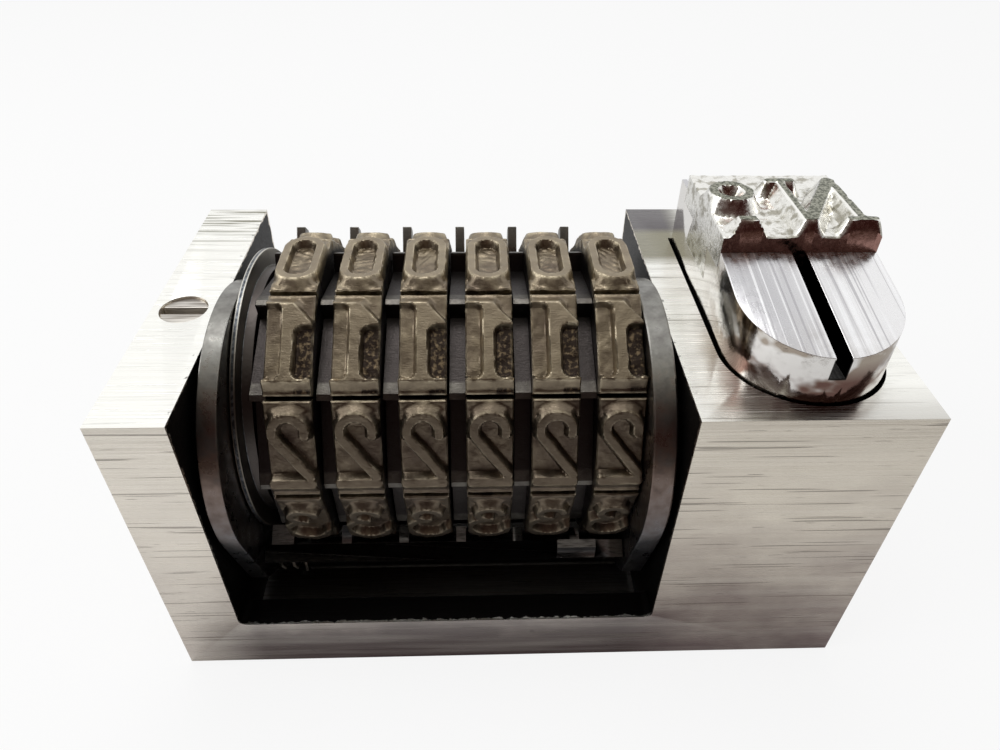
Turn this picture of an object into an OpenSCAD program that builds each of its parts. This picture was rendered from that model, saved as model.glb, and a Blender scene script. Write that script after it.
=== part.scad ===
// Letterpress numbering machine: six figure wheels in a steel frame, advanced by a plunger.
// All sizes are in millimetres. X runs to the right, Y to the back and Z up from the bed.
// The origin is at the middle of the frame's bottom.

/* [Frame] */
// Thickness of the left wall, which holds the shaft's locking screw
left_wall = 3.93; // [3.5:0.05:4.6]
// Thickness of the wall between the wheel chamber and the plunger
mid_wall = 2.15; // [1.9:0.05:2.8]
// Thickness of the thin wall at the right of the plunger
right_wall = 1.2; // [1.1:0.05:2]
// Thickness of the thin wall before the plunger's nose
nose_wall = 1.0; // [0.9:0.05:1.6]
// Thickness of the solid corner behind the plunger
rear_block = 4.25; // [3.8:0.05:5]
// Height of the frame
body_h = 20.9; // [19.6:0.1:21.6]
// How far the frame's front stands before the wheels' figures
front_reach = 1.95; // [1.8:0.05:2.8]
// How far the frame's back stands behind the wheels' figures
rear_reach = 0.95; // [0.95:0.05:1.8]
// Height of the front sill
sill_h = 4.08; // [3.2:0.02:4.6]
// Thickness of the front sill
front_sill = 1.8; // [1.2:0.05:2.2]
// Thickness of the rear sill
rear_sill = 2.45; // [2.2:0.05:2.7]
// Thickness of the base plate
base_t = 1.0; // [0.9:0.05:1.3]
// Width of the frame's rim round the base plate
base_rim = 0.8; // [0.6:0.05:0.9]
// Length of a base screw under its head
base_screw_l = 3.4; // [2.6:0.1:3.6]
// Radius of a base screw's thread
base_screw_r = 0.7; // [0.5:0.05:0.75]
// Radius of a base screw's head
base_head_r = 1.15; // [1:0.05:1.2]
// Radius of the window's lower corners
window_corner = 0.5; // [0.2:0.05:0.8]

/* [Figure wheels] */
// Height of the printing faces over the bed
type_high = 23.317; // [22.9:0.01:23.8]
// How far a figure stands over its block
relief = 0.5; // [0.4:0.05:0.8]
// Height of a figure
figure_h = 4.3; // [3.8:0.1:4.4]
// Width of a figure block
figure_w = 2.58; // [2.3:0.02:3]
// Width of the strokes of the figures
stroke = 0.42; // [0.3:0.02:0.5]
// Width of the ratchet at the left of each wheel
ratchet_w = 0.95; // [0.85:0.01:1.2]
// How far the ratchet's tips lie under the figures' faces
ratchet_drop = 0.9; // [0.85:0.05:1.1]
// Depth of the ratchet's teeth
tooth_depth = 1.15; // [0.9:0.05:1.5]
// Length of the flat land on a tooth's tip
tooth_land = 0.35; // [0.2:0.05:0.5]
// Side clearance between the pieces on the shaft
side_gap = 0.08; // [0.05:0.01:0.12]
// Radius of the wheel shaft
shaft_r = 2.4; // [2:0.05:2.8]
// Radial clearance of what turns on a shaft or a pin
turn_fit = 0.05; // [0.02:0.01:0.09]

/* [Swing] */
// Angle that the swing turns through in a full stroke
swing_deg = 38; // [34:1:40]
// Thickness of the swing's left arm
left_arm_t = 1.08; // [0.8:0.02:1.3]
// Thickness of the swing's right arm
right_arm_t = 1.32; // [1.1:0.02:1.6]
// Clearance between the swing's arms and the chamber's walls
arm_gap = 0.3; // [0.2:0.05:0.5]
// Radius of the round heads of the swing's arms
head_r = 8.55; // [8.2:0.05:8.7]
// How far the heads of the arms lie behind the frame's front
head_gap = 0.3; // [0.2:0.05:0.6]
// Radius of the boss round the pawl pin
boss_r = 2.1; // [1.7:0.05:2.3]
// How far the arms reach beyond the middle of the pawl pin
boss_lip = 0.984; // [0.95:0.001:1.2]
// Clearance between the swing and the base plate
floor_gap = 0.2; // [0.2:0.05:0.5]
// Clearance between the swing's pins and the corners of the figure blocks
corner_gap = 0.25; // [0.2:0.05:0.4]
// Thickness of the spacer collar beside the first wheel
spacer_t = 0.9; // [0.8:0.05:1.4]
// Thickness of the spacer collar's flange
flange_t = 0.3; // [0.2:0.05:0.4]
// How far the flange lies under the figures' faces
spacer_drop = 0.75; // [0.6:0.05:1.2]
// How far the rest of the spacer collar lies under its flange
spacer_step = 1.1; // [0.8:0.1:1.6]
// Radius of the stud that the plunger drives
stud_r = 1.0; // [0.8:0.05:1.1]
// Radius of the bar that ties the arms together
tie_r = 0.9; // [0.75:0.05:1]

/* [Pawls] */
// Angle of the pawl pin under the shaft's level, at the front
pin_angle = 55; // [54:1:58]
// Radius of the pawl pin
pin_r = 0.6; // [0.5:0.05:0.65]
// Radius of the comb pawl's hub
comb_hub_r = 1.05; // [1:0.05:1.15]
// Angle of the comb's free edge under the shaft's level
comb_angle = 37; // [36:0.5:39]
// Clearance between the first tooth of the comb and the ratchet's tips
comb_gap = 0.12; // [0.1:0.01:0.2]
// How much shorter each next tooth of the comb is
comb_step = 0.09; // [0.05:0.01:0.12]
// Radius of the rod that holds the retaining pawls
rod_r = 0.8; // [0.65:0.05:0.9]
// Radius of the retaining pawls' hubs
rod_hub_r = 1.5; // [1.4:0.05:1.6]
// Clearance between the noses of the retaining pawls and the ratchet's tips
nose_gap = 0.13; // [0.1:0.01:0.2]
// Thickness of the leaf spring behind the retaining pawls
leaf_t = 0.25; // [0.2:0.01:0.28]

/* [Plunger] */
// Travel of the plunger, which ends with the sign at the printing height
travel = 3.7; // [3.3:0.1:4]
// Width of the plunger's slot
slot_w = 9.0; // [8.8:0.1:10]
// Clearance round the plunger
slide_gap = 0.2; // [0.1:0.01:0.25]
// Length of the sign's block from front to back
slug_l = 7.9; // [7:0.1:8.3]
// Height of the sign's block over the plunger's top
slug_rise = 0.9; // [0.7:0.05:1.1]
// How far the sign's block is let into the plunger
slug_sink = 0.9; // [0.6:0.05:1.1]
// Height of the raised sign over its block
sign_relief = 0.9; // [0.7:0.05:1]
// Width of the saw cut in the plunger's nose
cut_w = 0.8; // [0.7:0.05:1.1]
// Depth of the saw cut under the plunger's top
cut_d = 2.7; // [2.2:0.1:2.9]
// Angle that the plunger's top falls by before the sign's block
nose_fall = 11; // [8:1:14]
// Radius of the plunger springs at the wire's middle
spring_r = 1.3; // [1.1:0.05:1.35]
// Thickness of the plunger springs' wire
spring_wire = 0.45; // [0.35:0.05:0.5]
// Curls of a plunger spring
spring_turns = 9; // [7:1:10]

/* [Hidden] */

$fn = 48;
wheel_count = 6;
figures = 10;
figure_deg = 360 / figures;
seat_fit = 0.02;
cut = 1;

// Pieces along the shaft, from left to right
pitch = ratchet_w + figure_w + side_gap;
stack_w = left_arm_t + side_gap + spacer_t + side_gap + wheel_count * pitch + right_arm_t;
chamber_w = stack_w + 2 * arm_gap;
body_w = left_wall + chamber_w + mid_wall + slot_w + right_wall;
x_left = -body_w / 2;
chamber_x0 = x_left + left_wall;
chamber_x1 = chamber_x0 + chamber_w;
left_arm_x = chamber_x0 + arm_gap;
spacer_x = left_arm_x + left_arm_t + side_gap;
wheels_x = spacer_x + spacer_t + side_gap;
right_arm_x = wheels_x + wheel_count * pitch;
slot_x0 = chamber_x1 + mid_wall;
slot_x1 = slot_x0 + slot_w;

// The swing's pins pass between the wheels and the base plate, which leaves this radius to the faces
wheel_room = type_high - base_t - floor_gap - boss_lip - comb_hub_r - corner_gap;
face_r = (wheel_room * wheel_room - figure_h * figure_h / 4) / (2 * wheel_room);

// The shaft's axis and the frame's depth
body_d = front_reach + 2 * face_r + rear_reach;
y_front = -body_d / 2;
y_back = body_d / 2;
axis_y = y_front + front_reach + face_r;
axis_z = type_high - face_r;

// Radii about the shaft's axis
block_top = face_r - relief;
figure_root = 0.2;
block_rim = 0.7;
face_rim = 0.19;
block_l = figure_h + 2 * block_rim;
figure_face_w = figure_w - 2 * face_rim;
corner_r = norm([face_r, figure_h / 2]);
ratchet_r = face_r - ratchet_drop;
ratchet_phase = 1;
head_lead = axis_y - y_front - head_gap - head_r;
tie_rim = 0.2;
spacer_r = face_r - spacer_drop;
spacer_hub_r = spacer_r - spacer_step;
pin_orbit = corner_r + corner_gap + comb_hub_r;
reach_r = pin_orbit + boss_lip;
tie_orbit = corner_r + corner_gap + tie_r;
tie_angle = pin_angle + 27;
stud_orbit = travel / (2 * sin(swing_deg / 2));
stud_angle = swing_deg / 2;

// The pawls
finger_t = ratchet_w - 0.35;
comb_inner = corner_r + corner_gap - 0.04;
comb_outer = pin_orbit + 0.01;
comb_spring_room = 2.2;
comb_spring_wire = 0.3;
comb_spring_curls = 2;
comb_spring_r = pin_r + 0.3;
rod_orbit = corner_r + 0.28 + rod_hub_r;
rod_angle = 44.7;
rod_y = axis_y + rod_orbit * cos(rod_angle);
rod_z = axis_z - rod_orbit * sin(rod_angle);
rear_sill_h = rod_z - rod_hub_r - 0.2;
lever_over = 0.15;
lever_back = face_r + lever_over;
leaf_gap = 0.05;
leaf_y = axis_y + lever_back + leaf_gap;
leaf_end = 0.3;
leaf_width = 0.8;
leaf_rise = 1.5;
leaf_screw_r = 0.6;
leaf_screw_l = 1.4;
leaf_head_t = 0.4;
leaf_head_r = leaf_screw_r * 1.6;
leaf_slot_w = 0.2;
leaf_screw_z = (base_t + rear_sill_h) / 2;

// The plunger
plunger_cx = (slot_x0 + slot_x1) / 2;
nose_cy = y_front + nose_wall + slot_w / 2;
slot_back = y_back - rear_block;
plunger_r = slot_w / 2 - slide_gap;
plunger_back = slot_back - slide_gap;
plunger_bottom = base_t + travel + floor_gap;
sign_top = type_high + travel;
slug_top = sign_top - sign_relief;
plunger_top = slug_top - slug_rise;
slug_z = plunger_top - slug_sink;
slug_inset = 1.4;
slug_y0 = plunger_back - slug_inset - slug_l;
slug_mid = slug_y0 + slug_l / 2;
sign_root = 0.2;
tenon_h = 1.8;
spring_bore_r = spring_r + spring_wire / 2 + 0.22;
spring_bore_l = 10;
spring_bore_top = plunger_bottom + spring_bore_l;
spring_ys = [nose_cy + 1.5, slot_back - 4];
stop_rise = 6.8;
stop_z = plunger_bottom + stop_rise;
stop_r = 1.0;
stop_depth = 1.3;

// Point at radius r and angle a about the shaft, where a is measured up from the front
function front_pt(r, a) = [-r * cos(a), r * sin(a)];
function back_pt(r, a) = [r * cos(a), r * sin(a)];
function wheel_x(i) = wheels_x + i * pitch;

// Extrudes an outline of Y and Z along X, from x0 to x1
module along_x(x0, x1) {
    translate([x0, 0, 0]) rotate([90, 0, 90]) linear_extrude(x1 - x0) children();
}

// The same with the outline's origin on the shaft's axis
module on_shaft(x0, x1) {
    translate([0, axis_y, axis_z]) along_x(x0, x1) children();
}

module x_rod(x0, x1, y, z, r) {
    translate([x0, y, z]) rotate([0, 90, 0]) cylinder(h = x1 - x0, r = r);
}

module y_rod(x, y0, y1, z, r) {
    translate([x, y0, z]) rotate([-90, 0, 0]) cylinder(h = y1 - y0, r = r);
}

module block(x0, x1, y0, y1, z0, z1) {
    translate([x0, y0, z0]) cube([x1 - x0, y1 - y0, z1 - z0]);
}

// Plan of the plunger or of its slot: a round nose and a square back
module plunger_plan(r, back) {
    translate([plunger_cx, nose_cy]) {
        circle(r);
        translate([-r, 0]) square([2 * r, back - nose_cy]);
    }
}

plate_gap = 0.05;
screw_inset = base_rim + plate_gap + base_head_r + 0.2;
function base_screw_places() = [
    [x_left + screw_inset, y_front + 3],
    [x_left + screw_inset, y_back - 3],
    [chamber_x1 + 1.65, y_front + screw_inset],
    [slot_x1 - 1.3, y_back - screw_inset]];

module base_screw(r, head_r, length) {
    cylinder(h = length, r = r);
    cylinder(h = 0.7, r1 = head_r, r2 = r);
}

// Opening between the walls from y0 to y1, with round lower corners on its sill
module window(y0, y1, sill) {
    r = window_corner;
    w = chamber_x1 - chamber_x0;
    translate([chamber_x0, y1, sill]) rotate([90, 0, 0]) linear_extrude(y1 - y0) {
        translate([0, r]) square([w, body_h]);
        translate([r, 0]) square([w - 2 * r, body_h]);
        for (x = [r, w - r]) translate([x, r]) circle(r);
    }
}

module shaft_window() {
    mid_y = -stud_orbit * (1 + cos(stud_angle)) / 2;
    half = stud_r + 0.45;
    lift = travel / 2 - half + stud_r + 0.35;
    for (z = [-lift, lift]) translate([mid_y, z]) circle(half);
    translate([mid_y - half, -lift]) square([2 * half, 2 * lift]);
}

lock_r = 1.35;
lock_inset = 0.5;
lock_x = x_left + lock_inset + lock_r;
lock_y = axis_y - 0.75 * shaft_r;
lock_bottom = axis_z + shaft_r + 0.1;
lock_slot_w = 0.6;
lock_slot_d = 0.65;

module frame() color([0.78, 0.76, 0.74]) difference() {
    block(x_left, -x_left, y_front, y_back, 0, body_h);
    // Wheel chamber, open at the top, the front and the back
    window(y_front - cut, axis_y, sill_h);
    window(axis_y, y_back + cut, rear_sill_h);
    block(chamber_x0, chamber_x1, y_front + front_sill, y_back - rear_sill, 0, body_h);
    // Bed for the base plate
    block(x_left + base_rim, -x_left - base_rim, y_front + base_rim, y_back - base_rim, -cut, base_t);
    translate([0, 0, base_t]) linear_extrude(body_h) plunger_plan(slot_w / 2, slot_back);
    // Window through which the swing's stud reaches the plunger
    on_shaft(chamber_x1 - cut, slot_x0 + cut) shaft_window();
    x_rod(x_left - cut, slot_x0 + cut, axis_y, axis_z, shaft_r + seat_fit);
    x_rod(x_left - cut, chamber_x1 + 1.5, rod_y, rod_z, rod_r + seat_fit);
    translate([lock_x, lock_y, lock_bottom]) cylinder(h = body_h, r = lock_r + seat_fit);
    y_rod(plunger_cx, slot_back - cut, y_back + cut, stop_z, stop_r + 0.3 + seat_fit);
    for (p = base_screw_places())
        translate([p.x, p.y, 0]) cylinder(h = base_t + base_screw_l, r = base_screw_r + seat_fit);
    // Shallow bed of the leaf spring in the rear sill, and its screw holes
    block(wheel_x(0) - leaf_end, right_arm_x, leaf_y, y_back + cut, base_t + 0.2, rear_sill_h + cut);
    for (x = leaf_screw_xs())
        y_rod(x, leaf_y - leaf_screw_l - 0.1, leaf_y + cut, leaf_screw_z, leaf_screw_r + seat_fit);
}

module base_plate() color([0.66, 0.65, 0.63]) difference() {
    gap = base_rim + plate_gap;
    block(x_left + gap, -x_left - gap, y_front + gap, y_back - gap, 0, base_t);
    for (p = base_screw_places()) translate([p.x, p.y, 0]) {
        base_screw(base_screw_r + 0.1, base_head_r + 0.1, base_t + cut);
        translate([0, 0, -cut]) cylinder(h = cut, r = base_head_r + 0.1);
    }
}

module base_screws() color([0.45, 0.44, 0.43]) for (p = base_screw_places())
    translate([p.x, p.y, 0]) difference() {
        base_screw(base_screw_r, base_head_r, base_t + base_screw_l - 0.3);
        translate([-2, -0.15, -cut]) cube([4, 0.3, cut + 0.35]);
    }

module wheel_shaft() color([0.6, 0.6, 0.6]) difference() {
    x_rod(x_left + 0.15, slot_x0 - 0.15, axis_y, axis_z, shaft_r);
    block(x_left - cut, x_left + 0.75, axis_y - 3, axis_y + 3, axis_z - 0.25, axis_z + 0.25);
}

module shaft_lock_screw() color([0.7, 0.68, 0.66]) difference() {
    translate([lock_x, lock_y, lock_bottom]) cylinder(h = body_h - lock_bottom - 0.1, r = lock_r);
    block(lock_x - 2 * lock_r, lock_x + 2 * lock_r, lock_y - lock_slot_w / 2, lock_y + lock_slot_w / 2,
        body_h - 0.1 - lock_slot_d, body_h + cut);
}

module spacer_collar() color([0.3, 0.29, 0.28]) difference() {
    union() {
        x_rod(spacer_x, spacer_x + flange_t, axis_y, axis_z, spacer_r);
        x_rod(spacer_x, spacer_x + spacer_t, axis_y, axis_z, spacer_hub_r);
    }
    x_rod(spacer_x - cut, spacer_x + spacer_t + cut, axis_y, axis_z, shaft_r + turn_fit);
}

// Strokes of the figures: a straight bar and a part of a ring
module bar(p, q, s) {
    n = [p.y - q.y, q.x - p.x] / norm(q - p) * s / 2;
    polygon([p - n, q - n, q + n, p + n]);
}

module bend(c, r, a0, a1, s) {
    steps = ceil((a1 - a0) / 60);
    translate(c) intersection() {
        difference() {
            circle(r + s / 2);
            circle(r - s / 2);
        }
        polygon(concat([[0, 0]], [for (i = [0:steps])
            3 * r * [cos(a0 + (a1 - a0) * i / steps), sin(a0 + (a1 - a0) * i / steps)]]));
    }
}

module ring(c, r, s) {
    translate(c) difference() {
        circle(r + s / 2);
        circle(r - s / 2);
    }
}

// A figure that reads upright, in a box w wide and h high about the origin
module figure(k, w, h, s) {
    r = (w - s) / 2;
    top = h / 2 - s / 2;
    if (k == 0) {
        bend([0, top - r], r, 0, 180, s);
        bend([0, r - top], r, 180, 360, s);
        bar([-r, r - top], [-r, top - r], s);
        bar([r, r - top], [r, top - r], s);
    }
    if (k == 1) {
        bar([0, -h / 2], [0, h / 2], 1.3 * s);
        bar([-w / 2, -top], [w / 2, -top], s);
        polygon([[0, h / 2], [-w / 2, h * 0.163], [-w / 2, h * 0.035], [0, h * 0.198]]);
    }
    if (k == 2) {
        bend([0, top - r], r, -35, 190, s);
        bar([r * cos(35) + 0.02, top - r - r * sin(35)], [-r, 0.1 - top], s);
        bar([-w / 2, -top], [w / 2, -top], s);
    }
    if (k == 3) {
        upper = r * 0.86;
        lower = top - upper;
        bend([0, top - upper], upper, -90, 170, s);
        bend([0, lower - top], lower, -165, 90, s);
    }
    if (k == 4) {
        bar([r * 0.5, -h / 2], [r * 0.5, h / 2], s);
        bar([-w / 2, -h * 0.18], [w / 2, -h * 0.18], s);
        bar([-r, -h * 0.18], [r * 0.4, top], s);
    }
    if (k == 5) {
        bar([-r, top], [w / 2 - 0.1, top], s);
        bar([-r, r * 1.1 - top], [-r, h / 2], s);
        bend([0, r - top], r, -165, 150, s);
    }
    if (k == 6) {
        ring([0, r - top], r, s);
        bar([-r, r - top], [-r, top - r], s);
        bend([0, top - r], r, 25, 180, s);
    }
    if (k == 7) {
        bar([-w / 2, top], [w / 2, top], s);
        bar([r, h / 2 - s], [-r * 0.3, -h / 2], s);
    }
    if (k == 8) {
        upper = r * 0.9;
        lower = (2 * top - 2 * upper) / 2;
        ring([0, top - upper], upper, s);
        ring([0, lower - top], min(lower, r * 1.06), s);
        bar([0, 2 * lower - top - 0.3], [0, top - 2 * upper + 0.3], s);
    }
    if (k == 9) rotate(180) figure(6, w, h, s);
}

// Saw teeth whose steep sides face down at the front
module ratchet_plan() {
    land = tooth_land / ratchet_r * 180 / PI;
    root = ratchet_r - tooth_depth;
    polygon([for (i = [figures:-1:1]) let (a = ratchet_phase + i * figure_deg)
        each [front_pt(ratchet_r, a), front_pt(ratchet_r, a - land), front_pt(root, a - land - 1)]]);
}

module block_plan() {
    for (k = [0:figures - 1]) rotate(k * figure_deg)
        translate([-block_l / 2, 0]) square([block_l, block_top]);
}

module figure_wheel(i) color([0.36, 0.33, 0.27]) difference() {
    x0 = wheel_x(i);
    x1 = x0 + ratchet_w + figure_w;
    union() {
        on_shaft(x0, x0 + ratchet_w) ratchet_plan();
        on_shaft(x0 + ratchet_w, x1) block_plan();
        for (k = [0:figures - 1]) translate([x1 - figure_w / 2, axis_y, axis_z])
            rotate([k * figure_deg, 0, 0]) translate([0, 0, block_top - figure_root]) mirror([1, 0, 0])
            linear_extrude(relief + figure_root) figure(k, figure_face_w, figure_h, stroke);
    }
    x_rod(x0 - cut, x1 + cut, axis_y, axis_z, shaft_r + turn_fit);
}

// Two round ends with straight sides between them
module strap(p, p_r, q, q_r) {
    aim = atan2(q.y - p.y, q.x - p.x);
    lean = acos((p_r - q_r) / norm(q - p));
    function side(a) = [cos(aim + a), sin(aim + a)];
    translate(p) circle(p_r);
    translate(q) circle(q_r);
    polygon([p + p_r * side(lean), q + q_r * side(lean), q + q_r * side(-lean), p + p_r * side(-lean)]);
}

// Outline of a swing arm: a round head before the shaft, and straps down to the pawl pin and the tie bar
module arm_plan() {
    head = [-head_lead, 0];
    pin = front_pt(pin_orbit, -pin_angle);
    tie = front_pt(tie_orbit, -tie_angle);
    intersection() {
        circle(reach_r);
        union() {
            strap(head, head_r, pin, boss_r);
            strap(head, head_r, tie, tie_r + tie_rim);
            strap(pin, boss_r, tie, tie_r + tie_rim);
            polygon([head, pin, tie]);
        }
    }
}

module swing_arm(x0, x1) difference() {
    on_shaft(x0, x1) arm_plan();
    x_rod(x0 - cut, x1 + cut, axis_y, axis_z, shaft_r + turn_fit);
    on_shaft(x0 - cut, x1 + cut) {
        translate(front_pt(pin_orbit, -pin_angle)) circle(pin_r + seat_fit);
        translate(front_pt(tie_orbit, -tie_angle)) circle(tie_r * 0.6 + seat_fit);
    }
}

module swing_left_arm() color([0.27, 0.26, 0.25]) swing_arm(left_arm_x, left_arm_x + left_arm_t);

module swing_right_arm() color([0.27, 0.26, 0.25]) difference() {
    swing_arm(right_arm_x, right_arm_x + right_arm_t);
    on_shaft(right_arm_x - cut, right_arm_x + right_arm_t + cut)
        translate(front_pt(stud_orbit, stud_angle)) circle(stud_r + seat_fit);
}

module swing_tie_bar() color([0.35, 0.34, 0.33]) {
    place = front_pt(tie_orbit, -tie_angle);
    x_rod(left_arm_x + left_arm_t, right_arm_x, axis_y + place.x, axis_z + place.y, tie_r);
    x_rod(left_arm_x + 0.1, right_arm_x + right_arm_t - 0.1, axis_y + place.x, axis_z + place.y,
        tie_r * 0.6);
}

module pawl_pin() color([0.5, 0.5, 0.5]) {
    place = front_pt(pin_orbit, -pin_angle);
    x_rod(left_arm_x + 0.1, right_arm_x + right_arm_t - 0.1, axis_y + place.x, axis_z + place.y, pin_r);
}

module drive_stud() color([0.5, 0.5, 0.5]) {
    place = front_pt(stud_orbit, stud_angle);
    x_rod(right_arm_x + 0.1, slot_x0 + slide_gap + stop_depth, axis_y + place.x, axis_z + place.y,
        stud_r);
}

comb_x0 = left_arm_x + left_arm_t + side_gap;
comb_x1 = right_arm_x - side_gap;

// Advancing pawl: a blade on a long hub, with a tooth for each ratchet and a wide last one
module comb_pawl() color([0.24, 0.22, 0.2]) difference() {
    blade = [for (a = [comb_angle:3:comb_angle + 12]) front_pt(comb_inner, -a)];
    back = [for (a = [comb_angle + 12:-4:comb_angle]) front_pt(comb_outer, -a)];
    pin = front_pt(pin_orbit, -pin_angle);
    union() {
        on_shaft(comb_x0, comb_x1) {
            translate(pin) circle(comb_hub_r);
            polygon(concat(blade, [pin + [0.2, comb_hub_r * 0.8]], [pin - [comb_hub_r * 0.8, 0.2]], back));
        }
        for (i = [0:wheel_count - 1]) let (
            tip = ratchet_r + comb_gap + i * comb_step,
            x = wheel_x(i) + ratchet_w / 2,
            x0 = i == 0 ? spacer_x + flange_t + side_gap : x - finger_t / 2)
            on_shaft(x0, x + finger_t / 2) polygon([
                front_pt(tip, -comb_angle), front_pt(tip, -comb_angle - 2),
                front_pt(comb_inner + 0.3, -comb_angle - 5), front_pt(comb_inner + 0.3, -comb_angle)]);
        on_shaft(wheel_x(wheel_count - 1) - 0.7, wheel_x(wheel_count - 1) + 1.7) polygon([
            front_pt(comb_inner, 4 - comb_angle), front_pt(comb_inner + 0.5, 4 - comb_angle),
            front_pt(comb_outer, -comb_angle), front_pt(comb_inner, -comb_angle - 1)]);
    }
    x_rod(comb_x0 - cut, comb_x1 + cut, axis_y + pin.x, axis_z + pin.y, pin_r + turn_fit);
    x_rod(comb_x0 - cut, comb_x0 + comb_spring_room, axis_y + pin.x, axis_z + pin.y, comb_spring_r + 0.4);
}

// A wire along a list of points that wind about an axis, six-sided, with flat ends
module wire(points, r, axis) {
    sides = 6;
    n = len(points);
    function heading(i) = let (d = points[min(i + 1, n - 1)] - points[max(i - 1, 0)]) d / norm(d);
    function side_of(t) = cross(t, axis) / norm(cross(t, axis));
    rings = [for (i = [0:n - 1]) let (t = heading(i), u = side_of(t), v = cross(t, u))
        for (k = [0:sides - 1]) points[i] + r * (u * cos(k * 60) + v * sin(k * 60))];
    walls = [for (i = [0:n - 2]) for (k = [0:sides - 1])
        let (a = i * sides + k, b = i * sides + (k + 1) % sides)
        each [[a, a + sides, b], [b, a + sides, b + sides]]];
    start = [for (k = [1:sides - 2]) [0, k, k + 1]];
    end = [for (k = [1:sides - 2]) [(n - 1) * sides, (n - 1) * sides + k + 1, (n - 1) * sides + k]];
    polyhedron(points = rings, faces = concat(walls, start, end), convexity = 10);
}

// Points of a wire wound round Z
ring_steps = 8;
function curl(r, z0, z1, turns) = [for (i = [0:turns * ring_steps])
    let (a = i * 360 / ring_steps, f = i / (turns * ring_steps))
    [r * cos(a), r * sin(a), z0 + (z1 - z0) * f]];
function least_gap(points, wire_d) =
    min([for (i = [0:len(points) - 1 - ring_steps]) norm(points[i + ring_steps] - points[i])]) - wire_d;

comb_spring_coil = curl(comb_spring_r, 0.3, comb_spring_room - 0.3, comb_spring_curls);
echo("least gap of the comb pawl's spring to itself", least_gap(comb_spring_coil, comb_spring_wire));

// Torsion spring of the comb pawl, coiled round the pin, with a leg under the tie bar
module comb_pawl_spring() color([0.55, 0.54, 0.52]) {
    pin = front_pt(pin_orbit, -pin_angle);
    coil = [for (p = comb_spring_coil) [p.z, -p.x, -p.y]];
    tail = coil[0] + [0, 0, 0.9];
    lead = coil[len(coil) - 1] - [0, 0, 1];
    translate([comb_x0, axis_y + pin.x, axis_z + pin.y])
        wire(concat([tail], coil, [lead]), comb_spring_wire / 2, [1, 0, 0]);
}

module retaining_rod() color([0.5, 0.5, 0.5]) {
    x_rod(x_left + 0.15, chamber_x1 + 1.4, rod_y, rod_z, rod_r);
}

// Lever of a retaining pawl: up behind the ratchet, with a nose over the teeth
module lever_plan() {
    hub = back_pt(rod_orbit, -rod_angle);
    inner = [for (a = [-36:10:34]) back_pt(ratchet_r + 0.4, a)];
    nose = [back_pt(ratchet_r + nose_gap, 37), back_pt(ratchet_r + nose_gap + 0.1, 41)];
    outer = [back_pt(ratchet_r + 2.05, 43), back_pt(ratchet_r + 2.2, 38),
        [lever_back * 0.985, lever_back * 0.36], [lever_back, 0]];
    polygon(concat(inner, nose, outer, [hub + [rod_hub_r * 0.86, 0.5]], [hub - [rod_hub_r * 0.6, 0]]));
}

module retaining_pawl(i) color([0.33, 0.32, 0.31]) difference() {
    x = wheel_x(i);
    union() {
        x_rod(x, x + pitch - side_gap, rod_y, rod_z, rod_hub_r);
        on_shaft(x + ratchet_w / 2 - finger_t / 2, x + ratchet_w / 2 + finger_t / 2) lever_plan();
    }
    x_rod(x - cut, x + pitch + cut, rod_y, rod_z, rod_r + turn_fit);
}

function leaf_screw_xs() = [wheel_x(1) + pitch / 2, wheel_x(wheel_count - 2) + pitch / 2];

module leaf_spring() color([0.52, 0.5, 0.47]) difference() {
    union() {
        block(wheel_x(0), right_arm_x - leaf_end, leaf_y, leaf_y + leaf_t, base_t + 0.4, rear_sill_h);
        for (i = [0:wheel_count - 1]) let (x = wheel_x(i) + ratchet_w / 2 - leaf_width / 2)
            block(x, x + leaf_width, leaf_y, leaf_y + leaf_t, rear_sill_h - 0.1, axis_z + leaf_rise);
    }
    for (x = leaf_screw_xs()) y_rod(x, leaf_y - cut, leaf_y + cut, leaf_screw_z, leaf_screw_r + 0.05);
}

module leaf_spring_screws() color([0.5, 0.49, 0.47]) for (x = leaf_screw_xs()) difference() {
    union() {
        y_rod(x, leaf_y - leaf_screw_l, leaf_y + leaf_t + leaf_head_t / 2, leaf_screw_z, leaf_screw_r);
        y_rod(x, leaf_y + leaf_t, leaf_y + leaf_t + leaf_head_t, leaf_screw_z, leaf_head_r);
    }
    block(x - 2 * leaf_head_r, x + 2 * leaf_head_r, leaf_y + leaf_t + leaf_head_t / 2,
        leaf_y + leaf_t + 2 * leaf_head_t, leaf_screw_z - leaf_slot_w / 2, leaf_screw_z + leaf_slot_w / 2);
}

// Outline of Y and Z of the sign's block with its dovetail, larger all round by g
module slug_outline(g) {
    h = slug_l / 2;
    square_bottom = -g;
    polygon([[-h - g, slug_top - slug_z + g * 50], [-h - g, square_bottom], [-1.7 - g, square_bottom],
        [-2.2 - g, -tenon_h - g], [2.2 + g, -tenon_h - g], [1.7 + g, square_bottom],
        [h + g, square_bottom], [h + g, slug_top - slug_z + g * 50]]);
}

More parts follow.
